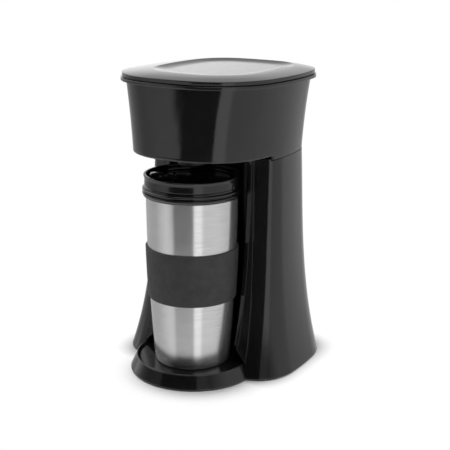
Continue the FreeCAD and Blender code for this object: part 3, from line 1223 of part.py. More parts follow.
def make_lens():
    lens = new_body("rocker_lens")
    side = new_sketch(lens, "lens_side", "XZ_Plane", lift=-S.switch_y, shift_x=rocker_x, shift_y=switch_z)
    turn = math.radians(-S.rocker_tilt.number)
    face = S.rocker_pivot + S.rocker_proud
    slope = math.atan2(S.rocker_dip.number, S.rocker_half.number)
    along = (math.sin(slope + turn), math.cos(slope + turn))
    out = (-math.cos(slope + turn), math.sin(slope + turn))
    middle = S.rocker_half * 0.55
    foot_x = S.rocker_dip * 0.45 - face
    base = (foot_x * math.cos(turn) - middle * math.sin(turn), foot_x * math.sin(turn) + middle * math.cos(turn))
    half = S.lens_tall / 2
    corners = []
    for across, lift in ((-1, 0.0), (1, 0.0), (1, 1.0), (-1, 1.0)):
        corners.append(tuple(base[i] + half * (across * (-along[0], along[1])[i]) + S.lens_thick * (lift * out[i])
                             for i in (0, 1)))
    draw_polygon(side, corners)
    pad(lens, side, S.lens_wide, both=True)
    return lens


def mug_radius(height):
    # Radius of the mug's outer wall at a height: a shallow arc from foot to top.
    foot, top = S.mug_foot_r.number, S.mug_top_r.number
    low, high = mug_low_z.number, S.mug_top_z.number
    chord = math.hypot(top - foot, high - low)
    middle = FreeCAD.Vector((foot + top) / 2, (low + high) / 2, 0)
    inward = FreeCAD.Vector(low - high, top - foot, 0).normalize()
    depth = math.sqrt(S.mug_curve.number ** 2 - (chord / 2) ** 2)
    centre = middle + inward * depth
    height = as_size(height).number
    return centre.x + math.sqrt(S.mug_curve.number ** 2 - (height - centre.y) ** 2)


def make_mug_shell():
    shell = new_body("mug_shell")
    skin = S.mug_skin
    low, top = mug_low_z, S.mug_top_z
    turned(shell, "mug_skin_profile", [
        (S.pad_r, low), (S.mug_foot_r, low), (S.mug_top_r, top), (S.mug_top_r - skin, top),
        (S.mug_foot_r - skin, low + skin), (S.pad_r, low + skin)],
        S.mug_y, curves={1: S.mug_curve, 3: skin - S.mug_curve})
    round_edges(shell, "mug_foot_outer", S.mug_foot_round, lambda edge: is_ring(edge, S.mug_foot_r, low))
    round_edges(shell, "mug_foot_inner", S.mug_foot_round - skin,
                lambda edge: is_ring(edge, S.mug_foot_r - skin, low + skin))
    return shell


def make_mug_base_pad():
    disc = new_body("mug_base_pad")
    ring = new_sketch(disc, "base_pad_disc", "XY_Plane", lift=mug_low_z + 0.2, shift_y=S.mug_y)
    draw_circle(ring, 0.0, 0.0, S.pad_r - S.run_gap)
    pad(disc, ring, S.pad_thick)
    return disc


cup_foot_r = S.mug_foot_r - S.cup_foot_gap
cup_top_r = S.mug_top_r - S.cup_top_gap


def make_mug_liner():
    cup = new_body("mug_liner")
    wall, low, top = S.cup_wall, S.cup_floor_z, S.mug_top_z
    turned(cup, "cup_profile", [
        (0.0, low), (cup_foot_r, low), (cup_top_r, top), (cup_top_r, top + S.cup_over),
        (cup_top_r - wall, top + S.cup_over), (cup_top_r - wall, top), (cup_foot_r - wall, low + wall),
        (0.0, low + wall)], S.mug_y)
    round_edges(cup, "cup_foot_outer", 4.0, lambda edge: is_ring(edge, cup_foot_r, low))
    round_edges(cup, "cup_foot_inner", 3.0, lambda edge: is_ring(edge, cup_foot_r - wall, low + wall))
    return cup


def make_mug_grip():
    grip = new_body("mug_grip")
    low, top, thick = S.grip_low_z, S.grip_top_z, S.grip_thick
    low_r = mug_radius(low) + S.grip_gap
    top_r = mug_radius(top) + S.grip_gap
    turned(grip, "grip_profile", [
        (low_r, low), (low_r + thick, low), (top_r + thick, top), (top_r, top)],
        S.mug_y, curves={1: S.mug_curve + thick, 3: -S.mug_curve})
    for name, radius, height in (("grip_low_round", low_r, low), ("grip_top_round", top_r, top)):
        round_edges(grip, name, thick / 2, lambda edge: is_ring(edge, radius + thick, height))
    return grip


collar_top_z = S.mug_top_z + S.collar_tall
mug_lid_low_z = collar_top_z + S.rest_gap
mug_lid_top_z = mug_lid_low_z + S.mug_lid_tall
deck_z = mug_lid_top_z - S.mug_deck_drop
cup_bore_r = cup_top_r - S.cup_wall
plug_r = cup_bore_r - S.plug_gap


def make_mug_collar():
    collar = new_body("mug_collar")
    low, top = S.mug_top_z, collar_top_z
    step_z = low + S.collar_step
    bevel = S.collar_bevel
    turned(collar, "collar_profile", [
        (cup_top_r + S.run_gap, low), (S.collar_r - bevel, low), (S.collar_r, low + bevel), (S.collar_r, step_z),
        (S.collar_step_r, step_z + bevel / 2), (S.collar_step_r, top), (cup_top_r + S.run_gap, top)], S.mug_y)
    round_edges(collar, "collar_round", 0.4, lambda edge: is_ring(edge, S.collar_r, step_z))
    return collar


def drink_spot(reach):
    turn = math.radians(S.drink_turn.number)
    return reach * math.cos(turn), S.mug_y + reach * math.sin(turn)


def make_mug_lid():
    lid = new_body("mug_lid")
    low, top, wall = mug_lid_low_z, mug_lid_top_z, S.mug_lid_wall
    under = deck_z - S.mug_deck_thick
    foot = low - S.plug_deep
    turned(lid, "mug_lid_profile", [
        (0.0, under), (plug_r - S.plug_wall, under), (plug_r - S.plug_wall, foot), (plug_r, foot), (plug_r, low),
        (S.mug_lid_r, low), (S.mug_lid_r, top), (S.mug_lid_r - wall, top), (S.mug_lid_r - wall, deck_z),
        (0.0, deck_z)], S.mug_y)
    seal_z = foot + S.seal_low
    turned(lid, "seal_groove", [
        (plug_r - S.seal_deep, seal_z), (plug_r + 1, seal_z), (plug_r + 1, seal_z + S.seal_tall),
        (plug_r - S.seal_deep, seal_z + S.seal_tall)], S.mug_y, cut=True)
    round_edges(lid, "mug_lid_round", 0.8, lambda edge: is_ring(edge, S.mug_lid_r, top)
                or is_ring(edge, S.mug_lid_r - wall, top))
    x, y = drink_spot(S.drink_reach)
    hole = new_sketch(lid, "drink_hole", "XY_Plane", lift=deck_z)
    draw_circle(hole, x, y, S.drink_r)
    pocket(lid, hole, S.mug_deck_thick)
    x, y = drink_spot(-S.drink_reach)
    vent = new_sketch(lid, "vent_hole", "XY_Plane", lift=deck_z)
    draw_circle(vent, x, y, S.vent_r)
    pocket(lid, vent, S.mug_deck_thick)
    # rails that guide the closure
    x, y = drink_spot(S.slider_out - S.slider_travel / 2)
    aside = (S.slider_wide + S.guide_wide) / 2 + S.fit_gap
    turn = math.radians(S.drink_turn.number)
    rails = new_sketch(lid, "rails", "XY_Plane", lift=deck_z)
    for sign in (1, -1):
        draw_turned(rails, x - aside * (sign * math.sin(turn)), y + aside * (sign * math.cos(turn)),
                    S.slider_long + S.slider_travel / 2, S.guide_wide, S.drink_turn)
    pad(lid, rails, S.guide_tall)
    return lid


def make_mug_seal():
    seal = new_body("mug_lid_seal")
    low = mug_lid_low_z - S.plug_deep + S.seal_low + S.run_gap
    inner = plug_r - S.seal_deep + S.run_gap
    outer = cup_bore_r - S.run_gap
    turned(seal, "seal_profile", [(inner, low), (outer, low), (outer, low + S.seal_tall - 2 * S.run_gap),
                                  (inner, low + S.seal_tall - 2 * S.run_gap)], S.mug_y)
    return seal


def make_mug_closure():
    slider = new_body("mug_closure")
    x, y = drink_spot(S.slider_out)
    low = deck_z + S.rest_gap
    plate = new_sketch(slider, "closure_plate", "XY_Plane", lift=low)
    draw_turned(plate, x, y, S.slider_long, S.slider_wide, S.drink_turn)
    pad(slider, plate, S.slider_thick)
    round_edges(slider, "closure_corners", 2.5,
                lambda edge: abs(edge.tangentAt(edge.FirstParameter).z) > 0.99)
    x, y = drink_spot(S.slider_out + S.slider_long / 2 - S.slider_thumb_long)
    thumb = new_sketch(slider, "closure_thumb", "XY_Plane", lift=low + S.slider_thick)
    draw_turned(thumb, x, y, S.slider_thumb_long, S.slider_wide - 4.0, S.drink_turn)
    pad(slider, thumb, S.slider_thumb)
    return slider


make_head_shell()
make_lid()
make_hinge_pins()
make_head_floor()
make_tower_shell()
make_niche_liner()
make_pillar_cheeks()
make_tray()
make_bottom_cover()
make_feet()
make_screws("cover_screws", [(x, y) for x, y, top in boss_places()] + tray_boss_places(), S.skirt_z, S.screw_shank)
make_filter_basket()
make_mesh_filter()
make_water_tank()
make_boiler()
make_element()
make_straps()
make_screws("strap_screws", strap_screw_places(), boiler_low_z + S.strap_thick + S.screw_head_thick, S.strap_screw_shank,
            up=False)
make_thermostat()
make_fuse()
make_hoses()
make_check_valve()
make_spreader()
make_terminal_block()
make_wires()
make_cord_gland()
make_switch_frame()
make_rocker()
make_lens()
make_mug_shell()
make_mug_base_pad()
make_mug_liner()
make_mug_grip()
make_mug_collar()
make_mug_lid()
make_mug_seal()
make_mug_closure()


def write_parts():
    doc.recompute()
    for item in doc.Objects:
        if "Invalid" in item.State or "Error" in item.State:
            raise RuntimeError(f"{item.Label} did not build: {item.State}")
    for node in nodes:
        if node.Shape.isNull() or not node.Shape.isValid():
            raise RuntimeError(f"{node.Label} has no valid shape")
        node.Shape.exportStep(f"parts/{node.Label}.step")
        box = node.Shape.BoundBox
        print(node.Label, len(node.Shape.Solids), "solids", round(node.Shape.Volume / 1000, 2), "cm3",
              [round(v, 1) for v in (box.XMin, box.XMax, box.YMin, box.YMax, box.ZMin, box.ZMax)])


write_parts()
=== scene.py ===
import bmesh
import bpy
import json
import math
from mathutils import Euler, Matrix, Vector


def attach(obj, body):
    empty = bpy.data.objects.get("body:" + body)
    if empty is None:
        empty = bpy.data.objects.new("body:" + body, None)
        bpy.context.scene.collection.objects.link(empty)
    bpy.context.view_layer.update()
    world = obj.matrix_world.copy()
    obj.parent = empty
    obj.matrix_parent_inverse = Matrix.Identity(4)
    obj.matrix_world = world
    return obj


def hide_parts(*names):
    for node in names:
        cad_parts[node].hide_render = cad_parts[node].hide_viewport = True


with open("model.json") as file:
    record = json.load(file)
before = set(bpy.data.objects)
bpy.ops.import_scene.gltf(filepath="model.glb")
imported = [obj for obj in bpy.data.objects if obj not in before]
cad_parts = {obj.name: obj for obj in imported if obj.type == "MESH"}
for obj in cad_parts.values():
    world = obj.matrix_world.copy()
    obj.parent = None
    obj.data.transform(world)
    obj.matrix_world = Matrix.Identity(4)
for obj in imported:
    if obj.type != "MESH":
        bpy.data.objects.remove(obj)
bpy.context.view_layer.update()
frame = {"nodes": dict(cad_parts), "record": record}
scene = bpy.context.scene
scene.view_settings.view_transform = "Standard"

# Camera, at the photograph's viewing angle
cameraView = {
    "azimuth": 32.05,       # degrees from the front toward the right
    "distance": 0.8611,     # level distance from the axis of the head
    "height": 0.3660,
    "axisY": 0.008,
    "pan": -0.30,
    "tilt": 15.82,
    "roll": 0.3,
    "focalPixels": 978.96,
    "framePixels": 450,
    "sensor": 36.0,
    "clipStart": 0.01,
}


def placeCamera():
    v = cameraView
    azimuth = math.radians(v["azimuth"])
    heading = math.radians(v["azimuth"] + v["pan"])
    data = bpy.data.cameras.new("photoCamera")
    data.sensor_width = v["sensor"]
    data.lens = v["focalPixels"] / v["framePixels"] * v["sensor"]
    data.clip_start = v["clipStart"]
    camera = bpy.data.objects.new("photoCamera", data)
    camera.location = (math.sin(azimuth) * v["distance"],
                       v["axisY"] - math.cos(azimuth) * v["distance"], v["height"])
    level = Euler((math.radians(90 - v["tilt"]), 0, heading)).to_matrix()
    camera.rotation_euler = (level @ Matrix.Rotation(math.radians(v["roll"]), 3, "Z")).to_euler()
    scene.collection.objects.link(camera)
    scene.camera = camera


placeCamera()
print("camera placed")


# Node helpers
def nodeTree(name):
    material = bpy.data.materials.new(name)
    material.use_nodes = True
    tree = material.node_tree
    tree.nodes.clear()
    return material, tree


def addNode(tree, kind, values=None, **settings):
    node = tree.nodes.new(kind)
    for key, value in settings.items():
        setattr(node, key, value)
    for key, value in (values or {}).items():
        node.inputs[key].default_value = value
    return node


def link(tree, source, target):
    tree.links.new(source, target)


def showShader(tree, shader):
    out = addNode(tree, "ShaderNodeOutputMaterial")
    link(tree, shader.outputs[0], out.inputs["Surface"])


def mathOf(tree, operation, first, second=0.0):
    node = addNode(tree, "ShaderNodeMath", operation=operation)
    for socket, value in zip(node.inputs, (first, second)):
        if isinstance(value, (int, float)):
            socket.default_value = value
        else:
            link(tree, value, socket)
    return node.outputs["Value"]


def product(tree, first, *others):
    for other in others:
        first = mathOf(tree, "MULTIPLY", first, other)
    return first


def spread(tree, source, low, high, fromLow=0.3, fromHigh=0.7):
    limits = {"From Min": fromLow, "From Max": fromHigh, "To Min": low, "To Max": high}
    node = addNode(tree, "ShaderNodeMapRange", limits)
    link(tree, source, node.inputs["Value"])
    return node.outputs["Result"]


def grainOf(tree, scale, detail=3.0, stretch=(1, 1, 1)):
    coords = addNode(tree, "ShaderNodeTexCoord")
    mapping = addNode(tree, "ShaderNodeMapping", {"Scale": stretch})
    link(tree, coords.outputs["Object"], mapping.inputs["Vector"])
    noise = addNode(tree, "ShaderNodeTexNoise", {"Scale": scale, "Detail": detail})
    link(tree, mapping.outputs["Vector"], noise.inputs["Vector"])
    return noise.outputs["Fac"]


# A Mix node keeps its two colours in sockets 6 and 7, and their blend in output 2
def blendTones(tree, share, first, second):
    node = addNode(tree, "ShaderNodeMix", data_type="RGBA")
    for socket, tone in ((node.inputs[6], first), (node.inputs[7], second)):
        if isinstance(tone, tuple):
            socket.default_value = (*tone, 1)
        else:
            link(tree, tone, socket)
    link(tree, share, node.inputs["Factor"])
    return node.outputs[2]


# Materials: one recipe, with its own values for each finish
recipe = {
    "toneDetail": 4.0,
    "roughGrain": 2.7,      # how much finer the roughness varies than the tone
    "roughDetail": 5.0,
    "bumpDetail": 2.0,
    "bumpDeep": 0.0004,
    # pointy edges lighten by up to this share: partly wear, partly a painted edge highlight
    "wearSheenShare": 0.6,
    "wearSheenFrom": 0.53,       # pointiness where wear begins
    "wearSheenTo": 0.62,
    "edgeSamples": 6,
}
# each finish's wear colour lightens its pointy edges: partly wear, partly a painted edge highlight
finishes = {
    "gloss_black": {"dark": (0.0045, 0.0046, 0.0050), "pale": (0.0065, 0.0066, 0.0070),
                    "rough": (0.07, 0.13), "grain": 60, "bumpScale": 260, "bump": 0.012, "ior": 1.50,
                    "wearAndSheen": (0.016, 0.016, 0.017), "edgeRound": 0.0014},
    "satin_black": {"dark": (0.010, 0.010, 0.011), "pale": (0.015, 0.015, 0.016),
                    "rough": (0.38, 0.52), "grain": 90, "bumpScale": 2200, "bump": 0.10, "ior": 1.46,
                    "wearAndSheen": (0.03, 0.03, 0.03)},
    "plain_steel": {"dark": (0.46, 0.46, 0.47), "pale": (0.58, 0.58, 0.59), "metal": 1.0,
                    "rough": (0.24, 0.40), "grain": 300, "bumpScale": 1800, "bump": 0.06, "ior": 1.5,
                    "wearAndSheen": (0.70, 0.70, 0.70)},
    "foot_rubber": {"dark": (0.012, 0.012, 0.012), "pale": (0.022, 0.022, 0.022),
                    "rough": (0.70, 0.85), "grain": 220, "bumpScale": 2600, "bump": 0.25, "ior": 1.45,
                    "wearAndSheen": (0.05, 0.05, 0.05)},
    "filter_nylon": {"dark": (0.30, 0.27, 0.20), "pale": (0.40, 0.36, 0.28),
                     "rough": (0.45, 0.60), "grain": 500, "bumpScale": 1600, "bump": 0.30, "ior": 1.5,
                     "wearAndSheen": (0.46, 0.42, 0.34)},
    "tank_plastic": {"dark": (0.045, 0.045, 0.047), "pale": (0.065, 0.065, 0.068),
                     "rough": (0.32, 0.46), "grain": 80, "bumpScale": 1500, "bump": 0.08, "ior": 1.46,
                     "wearAndSheen": (0.09, 0.09, 0.09)},
    "boiler_alloy": {"dark": (0.40, 0.40, 0.39), "pale": (0.52, 0.52, 0.51), "metal": 1.0,
                     "rough": (0.45, 0.62), "grain": 160, "bumpScale": 1200, "bump": 0.35, "ior": 1.5,
                     "wearAndSheen": (0.62, 0.62, 0.60)},
    "white_plastic": {"dark": (0.60, 0.59, 0.56), "pale": (0.70, 0.69, 0.66),
                      "rough": (0.35, 0.48), "grain": 120, "bumpScale": 1800, "bump": 0.06, "ior": 1.46,
                      "wearAndSheen": (0.76, 0.75, 0.72)},
    "silicone": {"dark": (0.36, 0.36, 0.35), "pale": (0.46, 0.46, 0.45),
                 "rough": (0.48, 0.60), "grain": 150, "bumpScale": 1300, "bump": 0.08, "ior": 1.41,
                 "wearAndSheen": (0.52, 0.52, 0.51)},
    "wire_sleeve": {"dark": (0.050, 0.012, 0.010), "pale": (0.080, 0.020, 0.016),
                    "rough": (0.42, 0.55), "grain": 400, "bumpScale": 2400, "bump": 0.12, "ior": 1.46,
                    "wearAndSheen": (0.12, 0.04, 0.03)},
    "lamp_red": {"dark": (0.16, 0.006, 0.004), "pale": (0.24, 0.010, 0.007),
                 "rough": (0.10, 0.18), "grain": 200, "bumpScale": 900, "bump": 0.05, "ior": 1.5,
                 "wearAndSheen": (0.32, 0.03, 0.02)},
    "grip_rubber": {"dark": (0.026, 0.026, 0.027), "pale": (0.036, 0.036, 0.037),
                    "rough": (0.60, 0.72), "grain": 110, "bumpScale": 3200, "bump": 0.16, "ior": 1.45,
                    "wearAndSheen": (0.05, 0.05, 0.05)},
    "mug_black": {"dark": (0.0040, 0.0040, 0.0045), "pale": (0.0060, 0.0060, 0.0065),
                  "rough": (0.10, 0.16), "grain": 100, "bumpScale": 300, "bump": 0.010, "ior": 1.50,
                  "wearAndSheen": (0.008, 0.008, 0.008)},
}


def makeFinish(name, f):
    r = recipe
    material, tree = nodeTree(name)
    shader = addNode(tree, "ShaderNodeBsdfPrincipled", {"IOR": f["ior"], "Metallic": f.get("metal", 0.0)})
    grain = grainOf(tree, f["grain"], r["toneDetail"])
    tone = blendTones(tree, spread(tree, grain, 0, 1), f["dark"], f["pale"])
    geometry = addNode(tree, "ShaderNodeNewGeometry")
    # pointy edges lighten toward the wear colour: partly wear, partly a painted edge highlight
    edge = spread(tree, geometry.outputs["Pointiness"], 0, r["wearSheenShare"], r["wearSheenFrom"], r["wearSheenTo"])
    link(tree, blendTones(tree, edge, tone, f["wearAndSheen"]), shader.inputs["Base Color"])
    fine = grainOf(tree, f["grain"] * r["roughGrain"], r["roughDetail"])
    link(tree, spread(tree, fine, *f["rough"]), shader.inputs["Roughness"])
    bump = addNode(tree, "ShaderNodeBump", {"Strength": f["bump"], "Distance": r["bumpDeep"]})
    link(tree, grainOf(tree, f["bumpScale"], r["bumpDetail"]), bump.inputs["Height"])
    if "edgeRound" in f:      # moulded edges catch the light
        rounded = addNode(tree, "ShaderNodeBevel", {"Radius": f["edgeRound"]}, samples=r["edgeSamples"])
        link(tree, rounded.outputs["Normal"], bump.inputs["Normal"])
    link(tree, bump.outputs["Normal"], shader.inputs["Normal"])
    showShader(tree, shader)
    return material


# Brushed steel, with the brush lines running round the mug
brushed = {
    "dark": (0.55, 0.55, 0.55),
    "pale": (0.64, 0.64, 0.64),
    "rough": (0.20, 0.26),
    "cloud": 45,            # scale of the slow changes in roughness
    "lines": 2600,
    "lineStretch": (0.02, 0.02, 1.0),
    "bump": 0.015,
    "bumpDeep": 0.0002,
    "stretch": 0.72,
    "stretchTurn": 0.25,    # a quarter turn, so that reflections smear across the lines
    "metal": 0.88,
}


def makeBrushed(name, b):
    material, tree = nodeTree(name)
    shader = addNode(tree, "ShaderNodeBsdfPrincipled", {
        "Metallic": b["metal"], "Anisotropic": b["stretch"], "Anisotropic Rotation": b["stretchTurn"]})
    lines = grainOf(tree, b["lines"], stretch=b["lineStretch"])
    tone = blendTones(tree, spread(tree, lines, 0, 1), b["dark"], b["pale"])
    link(tree, tone, shader.inputs["Base Color"])
    link(tree, spread(tree, grainOf(tree, b["cloud"]), *b["rough"]), shader.inputs["Roughness"])
    tangent = addNode(tree, "ShaderNodeTangent", direction_type="RADIAL", axis="Z")
    link(tree, tangent.outputs["Tangent"], shader.inputs["Tangent"])
    bump = addNode(tree, "ShaderNodeBump", {"Strength": b["bump"], "Distance": b["bumpDeep"]})
    link(tree, lines, bump.inputs["Height"])
    link(tree, bump.outputs["Normal"], shader.inputs["Normal"])
    showShader(tree, shader)
    return material


materials = {name: makeFinish(name, values) for name, values in finishes.items()}
materials["mug_steel"] = makeBrushed("mug_steel", brushed)
print("materials made:", len(materials))


def dress(obj, slotName):
    material = materials[slotName]
    if obj.data.materials:
        for index in range(len(obj.data.materials)):
            obj.data.materials[index] = material
    else:
        obj.data.materials.append(material)


slotOf = {part["node"]: part["material_slot"] for part in frame["record"]["subparts"]}
for nodeName, obj in frame["nodes"].items():
    dress(obj, slotOf[nodeName])
print("construction pieces dressed:", len(frame["nodes"]))

# Mesh helpers for the pieces modelled here, all in metres
meshing = {
    "weld": 1e-6,           # closes the seams of turned profiles
    "bevelSteps": 5,
    "cornerSteps": 6,
    "leastCorner": 0.0001,
    "holeSides": 48,
    "holeSharp": 45,        # degrees
}


def addPiece(name, verts, faces, body, slotName, smoothAngle=40):
    mesh = bpy.data.meshes.new(name)
    mesh.from_pydata(verts, [], faces)
    shape = bmesh.new()
    shape.from_mesh(mesh)
    bmesh.ops.remove_doubles(shape, verts=shape.verts, dist=meshing["weld"])
    bmesh.ops.recalc_face_normals(shape, faces=shape.faces)
    shape.to_mesh(mesh)
    shape.free()
    mesh.validate()
    mesh.shade_smooth()
    mesh.set_sharp_from_angle(angle=math.radians(smoothAngle))
    piece = bpy.data.objects.new(name, mesh)
    scene.collection.objects.link(piece)
    dress(piece, slotName)
    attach(piece, body)
    return piece


def bridgeRings(rings, capFirst=None, capLast=None):
    count, last = len(rings[0]), len(rings) - 1
    verts = [point for ring in rings for point in ring]
    faces = []
    for level in range(last):
        low, high = level * count, (level + 1) * count
        for i in range(count):
            j = (i + 1) % count
            faces.append((low + i, low + j, high + j, high + i))
    for cap, level in ((capFirst, 0), (capLast, last)):
        if cap is None:
            continue
        tip = len(verts)
        verts.append(cap)
        for i in range(count):
            pair = (level * count + i, level * count + (i + 1) % count)
            faces.append((*pair, tip) if level else (*pair[::-1], tip))
    return verts, faces


def turnedRings(profile, centre, steps):
    turns = [2 * math.pi * i / steps for i in range(steps)]
    return [[(centre[0] + radius * math.cos(turn), centre[1] + radius * math.sin(turn), height)
             for turn in turns] for radius, height in profile]


# Round rod along a level path
def sweptRings(path, radius, sides=12):
    turns = [2 * math.pi * k / sides for k in range(sides)]
    rings = []
    for i, point in enumerate(path):
        before, after = path[max(i - 1, 0)], path[min(i + 1, len(path) - 1)]
        along = (Vector(after) - Vector(before)).normalized()
        across = along.cross(Vector((0, 0, 1))).normalized()
        up = across.cross(along)
        rings.append([tuple(Vector(point) + across * radius * math.cos(turn) + up * radius * math.sin(turn))
                      for turn in turns])
    return rings


def rolled(centreR, centreZ, radius, fromTurn, toTurn, count):
    turns = [math.radians(fromTurn + (toTurn - fromTurn) * i / count) for i in range(count + 1)]
    return [(centreR + radius * math.cos(turn), centreZ + radius * math.sin(turn)) for turn in turns]


def middleOf(ring):
    return tuple(sum(axis) / len(ring) for axis in zip(*ring))


def joinShapes(*shapes):
    verts, faces = [], []
    for moreVerts, moreFaces in shapes:
        base = len(verts)
        verts += moreVerts
        faces += [tuple(base + k for k in face) for face in moreFaces]
    return verts, faces


# Block with round corners and a bevelled top; its size is length, width and height
def roundedBlock(centre, turn, size, rounds, low, lean=0.0):
    length, width, tall = size
    corner, bevel = rounds
    x0, y0 = centre
    a = math.radians(turn)
    levels = [(0.0, 0.0), (tall - bevel, lean)]
    for k in range(1, meshing["bevelSteps"] + 1):
        bend = math.radians(90 * k / meshing["bevelSteps"])
        levels.append((tall - bevel + bevel * math.sin(bend), lean + bevel * (1 - math.cos(bend))))
    rings = []
    for rise, inset in levels:
        r = max(corner - inset, meshing["leastCorner"])
        ring = []
        for cx, cy, start in ((1, 1, 0), (-1, 1, 90), (-1, -1, 180), (1, -1, 270)):
            for k in range(meshing["cornerSteps"] + 1):
                s = math.radians(start + 90 * k / meshing["cornerSteps"])
                u = cx * (length / 2 - corner) + r * math.cos(s)
                v = cy * (width / 2 - corner) + r * math.sin(s)
                ring.append((x0 + u * math.cos(a) - v * math.sin(a),
                             y0 + u * math.sin(a) + v * math.cos(a), low + rise))
        rings.append(ring)
    return bridgeRings(rings, (x0, y0, low), (x0, y0, low + tall))


def cutHoles(piece, holes):
    for x, y, radius, low, high in holes:
        rings = turnedRings([(radius, low), (radius, high)], (x, y), meshing["holeSides"])
        verts, faces = bridgeRings(rings, (x, y, low), (x, y, high))
        mesh = bpy.data.meshes.new("holeCutter")
        mesh.from_pydata(verts, [], faces)
        cutter = bpy.data.objects.new("holeCutter", mesh)
        scene.collection.objects.link(cutter)
        trim = piece.modifiers.new("hole", "BOOLEAN")
        trim.operation = "DIFFERENCE"
        trim.solver = "EXACT"
        trim.object = cutter
        bpy.context.view_layer.update()
        seen = piece.evaluated_get(bpy.context.evaluated_depsgraph_get())
        done = bpy.data.meshes.new_from_object(seen)
        piece.modifiers.clear()
        piece.data = done
        bpy.data.objects.remove(cutter)
    piece.data.set_sharp_from_angle(angle=math.radians(meshing["holeSharp"]))


# Rounded-square outlines of the machine, each a chain of eight tangent arcs
outlines = {
    "axisY": 0.008,
    "flange": {"half": 0.0761, "front": 0.0869, "rear": 0.0802, "sideR": 0.220, "frontR": 0.200,
               "rearR": 0.230, "frontCornerR": 0.059, "rearCornerR": 0.053},
    "seam": {"half": 0.0653, "front": 0.0840, "rear": 0.0692, "sideR": 0.170, "frontR": 0.260,
             "rearR": 0.267, "frontCornerR": 0.056, "rearCornerR": 0.041},
}


def cornerCentre(half, end, sideR, endR, cornerR):
    side, tip = Vector((half - sideR, 0)), Vector((0, end - endR))
    way = tip - side
    reach = sideR - cornerR
    along = (way.length_squared + reach ** 2 - (endR - cornerR) ** 2) / (2 * way.length)
    across = math.sqrt(reach ** 2 - along ** 2)
    way.normalize()
    spots = [side + way * along + Vector((way.y, -way.x)) * sign * across for sign in (1, -1)]
    return max(spots, key=lambda spot: spot.x + spot.y)


def outlinePoint(o, turn, inset=0.0):
    flip = 1 if math.cos(turn) >= 0 else -1
    turn = math.atan2(math.sin(turn), abs(math.cos(turn)))
    end, name = (1, "rear") if turn >= 0 else (-1, "front")
    length, endR, cornerR = o[name], o[name + "R"], o[name + "CornerR"]
    turn = abs(turn)
    corner = cornerCentre(o["half"], length, o["sideR"], endR, cornerR)
    first = math.atan2(corner.y, corner.x - (o["half"] - o["sideR"]))
    second = math.atan2(corner.y - (length - endR), corner.x)
    if turn < first:
        centre, radius = Vector((o["half"] - o["sideR"], 0)), o["sideR"]
    elif turn < second:
        centre, radius = corner, cornerR
    else:
        centre, radius = Vector((0, length - endR)), endR
    spot = centre + Vector((math.cos(turn), math.sin(turn))) * (radius - inset)
    return flip * spot.x, outlines["axisY"] + end * spot.y


# Lid: rounded edge, broad crowned rim, large shallow dish, two hinge knuckles
lidShape = {
    "underside": 0.2603,
    "top": 0.2660,
    "edgeInset": 0.0012,
    "lipLow": 0.26006,       # thin lip that closes the gap over the flange
    "lipBack": 0.0018,       # how far in the lip begins, has its foot, and turns up
    "lipFoot": 0.0015,
    "lipEdge": 0.00015,
    "lipRise": 0.0002,
    "edgeTall": 0.0036,
    "crestInset": 0.0105,
    "dishInset": 0.0305,
    "dishDepth": 0.0019,
    "dishRings": 18,
    "crownStraight": 0.4,    # share of the rim's fall that is straight
    "crownRings": 26,
    "crownCrowd": 1.6,       # crowds the rings toward the edge
    "crestScale": (0.794, 0.8734),
    "crestBack": 0.0088,     # the crest stands farther from the front than from the rear
    "middleInset": 0.045,
    "underShrink": (0.3, 0.65, 1.0),
    "underInsets": (0.030, 0.012),
    "floorShrink": (1.0, 0.75, 0.5, 0.25),
    "notchHalf": 0.0450,
    "notchY": 0.0780,
    "hinge": (0.0826, 0.2602),
    "knuckleR": 0.0030,
    "knuckleStart": 0.02,    # share of the half turn left off where the arm joins
    "knuckleSteps": 20,
    "boreR": 0.00155,
    "knuckleFrom": 0.0120,
    "knuckleLong": 0.0110,
    "armSink": 0.0006,
    "around": 288,
    "startTurn": 0.003,      # radians
}


def lidRing(inset, height, shrink=1.0, draw=0.0):
    s = lidShape
    scaleX, scaleY = (1 - draw * (1 - scale) for scale in s["crestScale"])
    middle = outlines["axisY"]
    ring = []
    for i in range(s["around"]):
        turn = 2 * math.pi * i / s["around"] + s["startTurn"]
        x, y = outlinePoint(outlines["flange"], turn, inset)
        if abs(x) < s["notchHalf"]:
            y = min(y, s["notchY"])
        drawnY = (y - middle) * scaleY + draw * s["crestBack"]
        ring.append((x * scaleX * shrink, middle + drawnY * shrink, height))
    return ring


def knuckleShape(side):
    s = lidShape
    low, high = side * s["knuckleFrom"], side * (s["knuckleFrom"] + s["knuckleLong"])
    (y0, z0), radius, bore = s["hinge"], s["knuckleR"], s["boreR"]
    start, steps = s["knuckleStart"], s["knuckleSteps"]
    turns = [-math.pi * (start + (1 - start) * k / steps) for k in range(steps + 1)]
    outer = [(y0 - radius * math.sin(turn), z0 + radius * math.cos(turn)) for turn in turns]
    armY = s["notchY"] - s["armSink"]
    outer += [(armY, s["underside"]), (armY, z0 + radius)]
    count = len(outer)
    turns = [2 * math.pi * k / count for k in range(count)]
    inner = [(y0 + bore * math.cos(turn), z0 + bore * math.sin(turn)) for turn in turns]
    nearest = min(range(count), key=lambda k: math.dist(inner[k], outer[0]))
    inner = [inner[(nearest - k) % count] for k in range(count)]
    loops = ((low, inner), (low, outer), (high, outer), (high, inner), (low, inner))
    return bridgeRings([[(x, y, z) for y, z in loop] for x, loop in loops])


